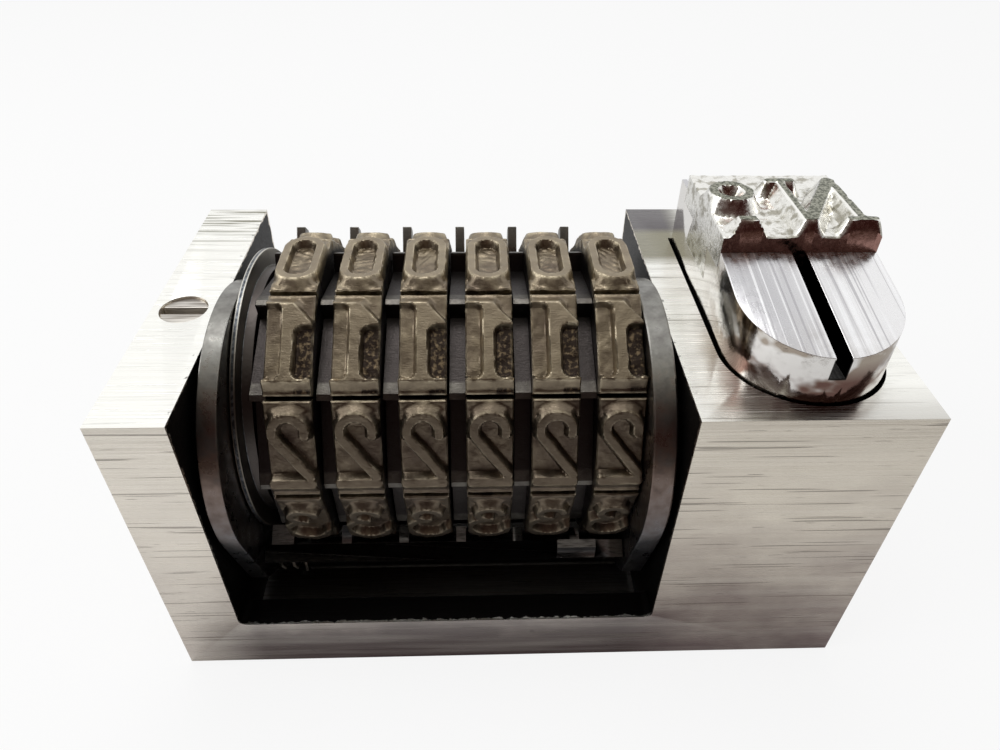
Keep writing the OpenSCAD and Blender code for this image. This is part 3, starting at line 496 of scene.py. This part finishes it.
bronze = Finish("worn_bronze_steel", (0.26, 0.21, 0.14), 0.38)
face_height = bronze.node("ShaderNodeAttribute", attribute_name="face_height").outputs["Fac"]
worn_edge_and_highlight = bronze.node("ShaderNodeAttribute", attribute_name="worn_edge_and_highlight").outputs["Fac"]
mottle = bronze.grain((1.3, 1.3, 1.3), 4)
cloudy = bronze.grain((0.35, 0.35, 0.35), 2)
fine = bronze.grain((9, 9, 9), 3)
swirl = bronze.grain((2.5, 14, 14), 2)
from_axis_y = bronze.maths("SUBTRACT", bronze.part_of(1), AXIS_Y)
from_axis_z = bronze.maths("SUBTRACT", bronze.part_of(2), AXIS_Z)
radius_mm = bronze.maths("SQRT", bronze.maths("ADD", bronze.maths("MULTIPLY", from_axis_y, from_axis_y),
                                              bronze.maths("MULTIPLY", from_axis_z, from_axis_z)))
radius_mm = bronze.maths("ADD", radius_mm, bronze.fade(mottle, 0.3, 0.7, -0.08, 0.08))
tone = bronze.blended(bronze.fade(mottle, 0.35, 0.68), (0.17, 0.137, 0.097), (0.33, 0.275, 0.195))
tone = bronze.blended(bronze.fade(cloudy, 0.4, 0.65, 0, 0.5), tone, (0.085, 0.06, 0.05))
tone = bronze.blended(bronze.maths("MULTIPLY", bronze.maths("MAXIMUM", face_height, 0.0), 0.6), tone,
                      (0.30, 0.25, 0.18))
rusted = bronze.blended(bronze.fade(bronze.grain((4.5, 4.5, 4.5), 5), 0.5, 0.72), (0.04, 0.03, 0.025),
                        (0.28, 0.21, 0.13))
tone = bronze.blended(bronze.fade(face_height, -0.3, -0.75), tone, rusted)
# The figures' edges and the blocks' corners are painted gold: partly their polish from handling, partly a painted
# highlight.
tone = bronze.blended(bronze.maths("MULTIPLY", bronze.maths("MINIMUM", worn_edge_and_highlight, 1.0),
                                   bronze.fade(mottle, 0.38, 0.6, 0.05, 0.8)), tone, (0.66, 0.58, 0.42))
# Painted shade: the figures lower down on the wheels are painted darker.
tone = bronze.blended(bronze.fade(bronze.part_of(2), 19.4, 18.2, 0, 0.42), tone, (0.05, 0.032, 0.03))
# Painted shade: below the figures' faces, on the blocks' sides, in the grooves and on the ratchet, the wheel is painted
# near black.
tone = bronze.blended(bronze.fade(radius_mm, 9.2, 8.95), tone, (0.055, 0.048, 0.046))
tooth_tip = bronze.maths("SUBTRACT", worn_edge_and_highlight, 1.0)
tone = bronze.blended(bronze.maths("MULTIPLY", tooth_tip, bronze.fade(mottle, 0.35, 0.6, 0.35, 1)), tone,
                      (0.14, 0.13, 0.115))
bronze.colour(tone)
bronze.rough(bronze.fade(fine, 0.3, 0.7, 0.28, 0.46))
bronze.relief(fine, 0.012)
bronze.relief(mottle, 0.02)
bronze.relief(swirl, 0.01)

for i in range(WHEELS):
    on(placed(wheel_mesh(i), f"wheel_{i + 1}", [f"wheel_{i + 1}"]), bronze)

# The swing is two round-headed arms of dark oiled steel that hang on the shaft at both ends of the wheels. A bar and
# the pawl's pin join them below, and the right arm's stud reaches into the plunger. The collar keeps the first wheel
# off the left arm.
dark_steel = Finish("oiled_dark_steel", (0.06, 0.055, 0.05), 0.35)
oil = dark_steel.grain((1.2, 1.2, 1.2), 3)
level_mm = dark_steel.maths("ADD", dark_steel.part_of(2), dark_steel.fade(oil, 0.3, 0.7, -1.5, 1.5))
dark_tone = dark_steel.blended(dark_steel.fade(level_mm, 10, 16), (0.15, 0.15, 0.16), (0.22, 0.165, 0.14))
dark_tone = dark_steel.blended(dark_steel.fade(level_mm, 17, 20.5), dark_tone, (0.27, 0.265, 0.245))
dark_steel.colour(dark_steel.blended(dark_steel.fade(oil, 0.42, 0.66, 0, 0.45), dark_tone, (0.06, 0.05, 0.05)))
dark_steel.rough(dark_steel.fade(oil, 0.3, 0.7, 0.24, 0.4))
dark_steel.relief(dark_steel.grain((7, 7, 7), 2), 0.006)
dark_steel.relief(dark_steel.grain((1.2, 1.2, 1.2), 2), 0.012)

COLLAR_MID_X = -15.46
collar_steel = Finish("blue_collar_steel", (0.1, 0.1, 0.11), 0.35)
specks = collar_steel.grain((5, 5, 5), 3)
from_rim = collar_steel.maths("ABSOLUTE", collar_steel.maths("SUBTRACT", collar_steel.part_of(0), COLLAR_MID_X))
collar_tone = collar_steel.blended(collar_steel.fade(specks, 0.45, 0.62), (0.055, 0.06, 0.07), (0.2, 0.215, 0.235))
# Painted highlight: two light bands near the middle of the rim, brightest at the top.
rim_highlight_share = collar_steel.maths("MULTIPLY", collar_steel.fade(from_rim, 0.05, 0.1),
                               collar_steel.fade(from_rim, 0.17, 0.15))
rim_highlight_tone = collar_steel.blended(collar_steel.fade(collar_steel.part_of(2), 19, 22), (0.22, 0.2, 0.17),
                                (0.62, 0.6, 0.54))
collar_tone = collar_steel.blended(rim_highlight_share, collar_tone, rim_highlight_tone)
collar_steel.colour(collar_steel.blended(collar_steel.fade(from_rim, 0.17, 0.2), collar_tone, (0.08, 0.07, 0.065)))
collar_steel.relief(specks, 0.01)

on(softened("spacer_collar", 0.05), collar_steel)
ARM_EDGE, PIN_EDGE = 0.12, 0.04
for node in ("swing_left_arm", "swing_right_arm", "swing_tie_bar", "pawl_pin", "drive_stud"):
    on(softened(node, ARM_EDGE if "arm" in node else PIN_EDGE, body="swing"), dark_steel)

# The comb pawl is one hardened blade with a tooth for each wheel. It hangs on the pin below the wheels, where a small
# wound spring presses it to the ratchets, and its wide last tooth lies under the units wheel.
pawl_steel = Finish("hardened_pawl_steel", (0.03, 0.028, 0.026), 0.35)
pawl_marks = pawl_steel.grain((1.2, 9, 9), 3)
# Painted light: faces that point up are painted lighter than the rest of the blade.
painted_light_on_top = pawl_steel.fade(pawl_steel.towards(2), 0.3, 0.7)
pawl_tone = pawl_steel.blended(painted_light_on_top, (0.03, 0.028, 0.028), (0.24, 0.235, 0.23))
pawl_tone = pawl_steel.blended(pawl_steel.fade(pawl_steel.part_of(0), 6.0, 6.2), pawl_tone, (0.10, 0.095, 0.085))
pawl_steel.colour(pawl_steel.blended(pawl_steel.fade(pawl_marks, 0.45, 0.7, 0, 0.7), pawl_tone, (0.02, 0.018, 0.018)))
pawl_steel.rough(pawl_steel.fade(pawl_marks, 0.3, 0.7, 0.25, 0.5))
pawl_steel.relief(pawl_marks, 0.006)
on(softened("comb_pawl", 0.05, body="comb_pawl"), pawl_steel)

spring_steel = Finish("spring_steel", (0.4, 0.38, 0.35), 0.3)
spring_marks = spring_steel.grain((5, 5, 5), 2)
spring_steel.colour(spring_steel.blended(spring_steel.fade(spring_marks, 0.4, 0.7), (0.45, 0.43, 0.4),
                                         (0.22, 0.2, 0.18)))
spring_steel.relief(spring_marks, 0.006)
comb_spring = on(softened("comb_pawl_spring", 0, body="swing"), spring_steel)
# Its lower leg is kept shorter than the solid's, so that it passes over the base plate when the swing is turned
LEG_TIP_BELOW, LEG_TIP_BEFORE = 3.3, -6.7
LEG_SHORTER = 0.45
for vertex in comb_spring.data.vertices:
    if vertex.co.z < LEG_TIP_BELOW * MM and vertex.co.y < LEG_TIP_BEFORE * MM:
        vertex.co.z += LEG_SHORTER * MM

# Six retaining pawls stand behind the wheels on a common rod. A comb of spring leaves, screwed to the rear sill,
# presses their noses into the ratchets. In the real comb each leaf bends between the strip and its own pawl; here each
# is a straight mesh of its own.
on(softened("retaining_rod", 0.05), shaft_steel)
for i in range(WHEELS):
    node = f"retaining_pawl_{i + 1}"
    on(softened(node, 0.04, body=node), dark_steel)

STRIP_TOP = 3.51
LEAF_TOP = 15.017
LEAF_Y, LEAF_T, LEAF_W = 10.5, 0.25, 0.8
LEAF_LEVELS = 24
strip = on(softened("leaf_spring", 0.03), spring_steel)
strip_mesh = bmesh.new()
strip_mesh.from_mesh(strip.data)
bmesh.ops.bisect_plane(strip_mesh, geom=strip_mesh.verts[:] + strip_mesh.edges[:] + strip_mesh.faces[:],
                       plane_co=(0, 0, STRIP_TOP * MM), plane_no=(0, 0, 1), clear_outer=True)
bmesh.ops.holes_fill(strip_mesh, edges=[edge for edge in strip_mesh.edges if edge.is_boundary])
strip_mesh.to_mesh(strip.data)
strip_mesh.free()
for i in range(WHEELS):
    x0 = FIRST_RATCHET_X + i * PITCH_MM + RATCHET_T / 2 - LEAF_W / 2
    levels = np.linspace(STRIP_TOP, LEAF_TOP, LEAF_LEVELS)
    outline = [(x0, LEAF_Y), (x0 + LEAF_W, LEAF_Y), (x0 + LEAF_W, LEAF_Y + LEAF_T), (x0, LEAF_Y + LEAF_T)]
    corners = [(x * MM, y * MM, z * MM) for z in levels for x, y in outline]
    last = len(corners) - 4
    sides = [(4 * k + c, 4 * k + (c + 1) % 4, 4 * k + 4 + (c + 1) % 4, 4 * k + 4 + c)
             for k in range(len(levels) - 1) for c in range(4)]
    mesh = bpy.data.meshes.new(f"spring_leaf_{i + 1}")
    mesh.from_pydata(corners, [], sides + [(3, 2, 1, 0), (last, last + 1, last + 2, last + 3)])
    leaf = bpy.data.objects.new(mesh.name, mesh)
    bpy.context.scene.collection.objects.link(leaf)
    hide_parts("leaf_spring")
    on(leaf, spring_steel)
    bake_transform(leaf)
on(softened("leaf_spring_screws", 0.03), turned)

# The plunger is a polished and chromed steel slide with a round nose and a flat, fly cut top. Two wound springs in its
# bores lift it, and a screw from the back, whose tip runs in a groove, stops it at the top.
CUT_X, CUT_HALF = 15.3, 0.4
FALL_Y, FALL_Z, FALL = -2.52, 25.217, math.tan(math.radians(11))
chrome = Finish("polished_chrome", (0.86, 0.84, 0.82), 0.09)
haze = chrome.grain((2.2, 2.2, 2.2), 4)
painted_reflection_patches = chrome.grain((0.34, 0.34, 0.5), 3)
chrome_top = chrome.fade(chrome.towards(2), 0.8, 0.95)
cutter = chrome.grain((4.2, 0.04, 0.04), 1, (0, 0, -2))
chrome.rough(chrome.maths("ADD", chrome.fade(haze, 0.35, 0.7, 0.05, 0.22),
                          chrome.maths("MULTIPLY", chrome_top, 0.16)))
# Painted reflections: brown patches on the side near the nose, and a dark red-brown low on the nose.
by_nose = chrome.fade(chrome.part_of(1), -1, -5)
side_chrome = chrome.blended(chrome.maths("MULTIPLY", chrome.fade(painted_reflection_patches, 0.46, 0.54), by_nose), (0.86, 0.84, 0.81),
                             (0.42, 0.36, 0.30))
low_nose = chrome.maths("MULTIPLY", chrome.fade(chrome.part_of(2), 23.4, 22.2),
                        chrome.fade(chrome.part_of(1), -5, -8))
side_chrome = chrome.blended(chrome.maths("MULTIPLY", low_nose, chrome.fade(painted_reflection_patches, 0.42, 0.56, 0.1, 0.9)),
                             side_chrome, (0.12, 0.055, 0.045))
# The milled top is painted darker at the left and lighter at the right, as painted light.
milled = chrome.blended(chrome.fade(chrome.part_of(0), 13, 17), (0.56, 0.555, 0.57), (0.84, 0.835, 0.84))
chrome_tone = chrome.blended(chrome_top, side_chrome, milled)
chrome_tone = chrome.blended(chrome.maths("MULTIPLY", chrome.fade(cutter, 0.55, 0.62, 0, 0.8), chrome_top), chrome_tone,
                             (0.92, 0.92, 0.93))
chrome_tone = chrome.blended(chrome.maths("MULTIPLY", chrome.fade(cutter, 0.42, 0.36, 0, 0.7), chrome_top), chrome_tone,
                             (0.42, 0.41, 0.43))
# Painted shade: the inside of the narrow cut in the top is painted near black.
past_bend = chrome.maths("MINIMUM", chrome.maths("SUBTRACT", chrome.part_of(1), FALL_Y), 0.0)
slope_z = chrome.maths("ADD", chrome.maths("MULTIPLY", past_bend, FALL), FALL_Z)
painted_shade_in_cut = chrome.maths("MULTIPLY", chrome.fade(chrome.maths("SUBTRACT", slope_z, chrome.part_of(2)), 0.05, 0.12),
                      chrome.fade(chrome.maths("ABSOLUTE", chrome.maths("SUBTRACT", chrome.part_of(0), CUT_X)),
                                  CUT_HALF + 0.06, CUT_HALF + 0.04))
painted_shade_in_cut = chrome.maths("MULTIPLY", painted_shade_in_cut, chrome.fade(chrome.part_of(2), 22.4, 22.45))
chrome.colour(chrome.blended(chrome.maths("MULTIPLY", painted_shade_in_cut, 0.97), chrome_tone, (0.01, 0.009, 0.008)))
chrome.relief(chrome.maths("MULTIPLY", cutter, chrome_top), 0.02)
chrome.relief(haze, 0.01)
on(softened("plunger", 0.07, body="plunger"), chrome)
springs = on(softened("plunger_springs", 0), spring_steel)
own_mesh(springs)
on(softened("plunger_stop_screw", 0.05), turned)

# The sign's block is slid across the plunger's top on a dovetail and clamped by a small screw. The raised sign, a
# ring over a bar and a capital N, is cut round by a tapered cutter, so its strokes stand on sloping flanks.
SLUG_X0, SLUG_X1 = 11.0, 19.6
SLUG_FRONT, SLUG_BACK = -2.5, 5.4
SLUG_TOP = 26.117
SLUG_FLOOR = 24.317
SIGN_RISE = 0.9
SIGN_GRID = 0.09


def outside_sign(x, y):
    """How far each place lies outside the raised strokes of the sign."""
    ring = np.abs(np.hypot(x - 12.3, y - 1.35) - 1.0) - 0.25
    under_ring = np.maximum(np.abs(x - 12.3) - 0.5, np.abs(y + 1.95) - 0.25)
    legs = [(np.array([[15.5, -2.0], [15.5, 2.75]]), 0.2), (np.array([[18.5, -2.0], [18.5, 2.75]]), 0.2),
            (np.array([[14.85, 2.75], [16.15, 2.75]]), 0.22), (np.array([[17.85, -2.0], [19.15, -2.0]]), 0.22),
            (np.array([[15.75, -1.85], [18.3, 2.7]]), 0.36)]
    return np.min([ring, under_ring] + [from_line(x, y, line) - half for line, half in legs], axis=0)


def slug_mesh():
    """The slug with the raised sign on its top and the dovetail below it."""
    x = np.linspace(SLUG_X0, SLUG_X1, int((SLUG_X1 - SLUG_X0) / SIGN_GRID) + 1)
    y = np.linspace(SLUG_BACK, SLUG_FRONT, int((SLUG_BACK - SLUG_FRONT) / SIGN_GRID) + 1)
    gx, gy = np.meshgrid(x, y, indexing="ij")
    d = outside_sign(gx, gy) + 0.03 * waves(gx, gy, 5, 1.4)
    drop = np.clip(d / 0.5, 0, 1) ** 0.9
    cutter_marks = 0.05 * np.abs(waves(gx, gy, 8, 1.3))
    high = SLUG_TOP + SIGN_RISE * (1 - drop) + cutter_marks * np.clip(drop * 1.5 - 0.4, 0, 1)
    rim = np.minimum.reduce([gx - SLUG_X0, SLUG_X1 - gx, gy - SLUG_FRONT, SLUG_BACK - gy])
    high = high - 0.07 * np.clip(1 - rim / 0.1, 0, 1)
    top = np.stack([gx, gy, high], -1)
    mid = (SLUG_FRONT + SLUG_BACK) / 2
    foot = [(SLUG_FRONT, SLUG_FLOOR + 0.9), (SLUG_FRONT + 0.03, SLUG_FLOOR), (mid - 1.7, SLUG_FLOOR),
            (mid - 2.2, SLUG_FLOOR - 1.8), (mid + 2.2, SLUG_FLOOR - 1.8), (mid + 1.7, SLUG_FLOOR),
            (SLUG_BACK - 0.03, SLUG_FLOOR), (SLUG_BACK, SLUG_FLOOR + 0.9)]
    below = np.stack([np.column_stack([x, np.full(len(x), fy), np.full(len(x), fz)]) for fy, fz in foot], 1)
    loops = np.concatenate([top, below], 1)
    count, around = loops.shape[:2]
    index = np.arange(count * around).reshape(count, around)
    turned_index = np.roll(index, -1, 1)
    quads = np.stack([index[:-1], turned_index[:-1], turned_index[1:], index[1:]], -1).reshape(-1, 4)
    faces = quads.tolist() + [index[0][::-1].tolist(), index[-1].tolist()]
    mesh = bpy.data.meshes.new("numero_slug")
    mesh.from_pydata((loops.reshape(-1, 3) * MM).tolist(), [], faces)
    body_mesh = bmesh.new()
    body_mesh.from_mesh(mesh)
    bmesh.ops.recalc_face_normals(body_mesh, faces=body_mesh.faces)
    body_mesh.to_mesh(mesh)
    body_mesh.free()
    marks = np.concatenate([1 - drop, np.zeros((len(x), len(foot)))], 1)
    layer = mesh.attributes.new("stroke_top", "FLOAT", "POINT")
    layer.data.foreach_set("value", marks.reshape(-1).astype(np.float32))
    return mesh


sign_steel = Finish("cut_sign_steel", (0.84, 0.83, 0.8), 0.2)
stroke_top = sign_steel.node("ShaderNodeAttribute", attribute_name="stroke_top").outputs["Fac"]
nicks = sign_steel.grain((5, 5, 5), 4)
dark_spots = sign_steel.grain((1.6, 1.6, 1.6), 3)
flat_top = sign_steel.fade(stroke_top, 0.93, 0.99)
sign_tone = sign_steel.blended(sign_steel.fade(dark_spots, 0.5, 0.62), (0.86, 0.85, 0.81), (0.42, 0.40, 0.34))
sign_tone = sign_steel.blended(flat_top, sign_tone, (0.3, 0.3, 0.24))
speckled = sign_steel.maths("MULTIPLY", sign_steel.fade(nicks, 0.46, 0.54),
                            sign_steel.fade(flat_top, 0, 1, 0.08, 0.9))
sign_tone = sign_steel.blended(speckled, sign_tone, (0.07, 0.075, 0.05))
# Painted highlight: a bright band just below the top edge of each stroke.
painted_highlight_edge = sign_steel.maths("MULTIPLY", sign_steel.fade(stroke_top, 0.8, 0.9),
                               sign_steel.fade(stroke_top, 0.99, 0.95))
sign_tone = sign_steel.blended(painted_highlight_edge, sign_tone, (0.95, 0.94, 0.9))
# Painted reflection: faces that point to the front are painted dark red-brown.
painted_reflection_front = sign_steel.fade(sign_steel.towards(1), -0.75, -0.9)
sign_tone = sign_steel.blended(painted_reflection_front, sign_tone, (0.36, 0.2, 0.17))
sign_steel.colour(sign_tone)
sign_steel.rough(sign_steel.fade(nicks, 0.35, 0.65, 0.12, 0.35))
sign_steel.relief(nicks, 0.008)
on(placed(slug_mesh(), "plunger", ["sign_slug"]), sign_steel)
on(softened("slug_screw", 0.03, body="plunger"), turned)

# The machine stands on a wide white table before a white wall, under two soft lamps. The dim room round the camera is
# there for the reflections in the metal alone.
TABLE_MM = 6000
TABLE_GLOW = 0.85
DIM_SKY = 0.55


def seen_white(tree_nodes, links):
    """1 for the rays that show the background itself, and 0 for those that carry its light."""
    rays = tree_nodes.new("ShaderNodeLightPath")
    most = tree_nodes.new("ShaderNodeMath")
    most.operation = "MAXIMUM"
    links.new(rays.outputs["Is Camera Ray"], most.inputs[0])
    links.new(rays.outputs["Is Glossy Ray"], most.inputs[1])
    either = tree_nodes.new("ShaderNodeMath")
    either.operation = "MAXIMUM"
    links.new(most.outputs[0], either.inputs[0])
    links.new(rays.outputs["Is Transmission Ray"], either.inputs[1])
    return either.outputs[0]


def flat_card(name, centre_mm, facing, width_mm, height_mm):
    """A flat sheet of the stage, turned to face that way."""
    mesh = bpy.data.meshes.new(name)
    w, h = width_mm * MM / 2, height_mm * MM / 2
    mesh.from_pydata([(-w, -h, 0), (w, -h, 0), (w, h, 0), (-w, h, 0)], [], [(0, 1, 2, 3)])
    card = bpy.data.objects.new(name, mesh)
    bpy.context.scene.collection.objects.link(card)
    card.location = Vector(centre_mm) * MM
    card.rotation_euler = Vector(facing).to_track_quat("Z", "Y").to_euler()
    return card


table = flat_card("table", (0, 0, -0.02), (0, 0, 1), TABLE_MM, TABLE_MM)
table_paint = bpy.data.materials.new("white_table")
table_paint.use_nodes = True
nodes, links = table_paint.node_tree.nodes, table_paint.node_tree.links
matt = nodes["Principled BSDF"]
matt.inputs["Base Color"].default_value = (0.9, 0.9, 0.9, 1)
matt.inputs["Roughness"].default_value = 0.9
matt.inputs["Specular IOR Level"].default_value = 0.0
glow = nodes.new("ShaderNodeEmission")
glow.inputs["Strength"].default_value = 1.0
share = nodes.new("ShaderNodeMath")
share.operation = "MULTIPLY"
share.inputs[1].default_value = TABLE_GLOW
links.new(nodes.new("ShaderNodeLightPath").outputs["Is Camera Ray"], share.inputs[0])
both = nodes.new("ShaderNodeMixShader")
links.new(share.outputs[0], both.inputs[0])
links.new(matt.outputs[0], both.inputs[1])
links.new(glow.outputs[0], both.inputs[2])
links.new(both.outputs[0], nodes["Material Output"].inputs["Surface"])
table.data.materials.append(table_paint)

ROOM_R = 0.12
ROOM_SHADES = ((0.0, (0.17, 0.14, 0.115)), (0.3, (0.07, 0.045, 0.04)), (0.6, (0.055, 0.022, 0.02)),
               (0.8, (0.13, 0.10, 0.085)), (0.9, (0.45, 0.43, 0.38)), (0.96, (0.85, 0.83, 0.78)),
               (1.0, (0.95, 0.95, 0.9)))


def dark_room():
    """A curved screen round the front, seen by reflections only, dark at the camera's level and light above."""
    turns = np.radians(np.linspace(-80, 80, 33))
    rises = np.radians(np.linspace(-6, 90, 25))
    ga, ge = np.meshgrid(turns, rises, indexing="ij")
    points = ROOM_R * np.stack([np.sin(ga) * np.cos(ge), -np.cos(ga) * np.cos(ge), np.sin(ge)], -1)
    index = np.arange(points.shape[0] * points.shape[1]).reshape(points.shape[:2])
    quads = np.stack([index[:-1, :-1], index[1:, :-1], index[1:, 1:], index[:-1, 1:]], -1).reshape(-1, 4)
    mesh = bpy.data.meshes.new("room_screen")
    mesh.from_pydata(points.reshape(-1, 3).tolist(), [], quads.tolist())
    screen = bpy.data.objects.new("room_screen", mesh)
    bpy.context.scene.collection.objects.link(screen)
    screen.visible_camera = False
    screen.visible_shadow = False
    screen.visible_diffuse = False
    return screen


room_paint = bpy.data.materials.new("room_shades")
room_paint.use_nodes = True
nodes, links = room_paint.node_tree.nodes, room_paint.node_tree.links
nodes.remove(nodes["Principled BSDF"])
rise = nodes.new("ShaderNodeSeparateXYZ")
links.new(nodes.new("ShaderNodeTexCoord").outputs["Object"], rise.inputs[0])
share = nodes.new("ShaderNodeMath")
share.operation = "MULTIPLY"
share.inputs[1].default_value = 1 / ROOM_R
links.new(rise.outputs[2], share.inputs[0])
shades = nodes.new("ShaderNodeValToRGB")
for at, shade in ROOM_SHADES[1:-1]:
    shades.color_ramp.elements.new(at).color = (*shade, 1)
shades.color_ramp.elements[0].color = (*ROOM_SHADES[0][1], 1)
shades.color_ramp.elements[-1].color = (*ROOM_SHADES[-1][1], 1)
links.new(share.outputs[0], shades.inputs[0])
glow = nodes.new("ShaderNodeEmission")
links.new(shades.outputs[0], glow.inputs["Color"])
links.new(glow.outputs[0], nodes["Material Output"].inputs["Surface"])
dark_room().data.materials.append(room_paint)

world = bpy.data.worlds.new("white_room")
bpy.context.scene.world = world
world.use_nodes = True
nodes, links = world.node_tree.nodes, world.node_tree.links
sky = nodes["Background"]
sky.inputs["Color"].default_value = (1, 1, 1, 1)
level = nodes.new("ShaderNodeMapRange")
level.inputs["To Min"].default_value = DIM_SKY
level.inputs["To Max"].default_value = 1.0
links.new(seen_white(nodes, links), level.inputs["Value"])
links.new(level.outputs[0], sky.inputs["Strength"])


def soft_lamp(name, place_mm, size_mm, watts):
    """A lamp with a wide face, turned to the machine."""
    light = bpy.data.lights.new(name, "AREA")
    light.shape = "RECTANGLE"
    light.size, light.size_y = size_mm[0] * MM, size_mm[1] * MM
    light.energy = watts
    lamp = bpy.data.objects.new(name, light)
    bpy.context.scene.collection.objects.link(lamp)
    lamp.location = Vector(place_mm) * MM
    lamp.rotation_euler = (Vector((0, 0, 10)) * MM - lamp.location).to_track_quat("-Z", "Y").to_euler()


soft_lamp("high_lamp", (-30, 70, 225), (120, 80), 0.1)
soft_lamp("left_lamp", (-190, -40, 140), (140, 140), 0.15)

# The camera looks down at the machine from the front, close by, as in the photograph. Its place, its directions and
# its lens come from a fit of the block's corners, and the lens is given in pixels of the photograph's width.
SENSOR_MM = 36
CAMERA_MM = Vector((-2.30, -36.87, 44.93))
FORWARD = Vector((0.03307, 0.77306, -0.63347)).normalized()
RIGHT = Vector((0.99942, -0.03096, 0.01440)).normalized()
FOCAL_PX = 729.38
PHOTO_W = 1000
lens = bpy.data.cameras.new("camera")
lens.sensor_width = SENSOR_MM
lens.lens = FOCAL_PX * lens.sensor_width / PHOTO_W
lens.clip_start = 0.001
camera = bpy.data.objects.new("camera", lens)
bpy.context.scene.collection.objects.link(camera)
up = RIGHT.cross(FORWARD)
camera.matrix_world = Matrix.Translation(CAMERA_MM * MM) @ Matrix((RIGHT, up, -FORWARD)).transposed().to_4x4()
bpy.context.scene.camera = camera
bpy.context.scene.view_settings.view_transform = "Standard"
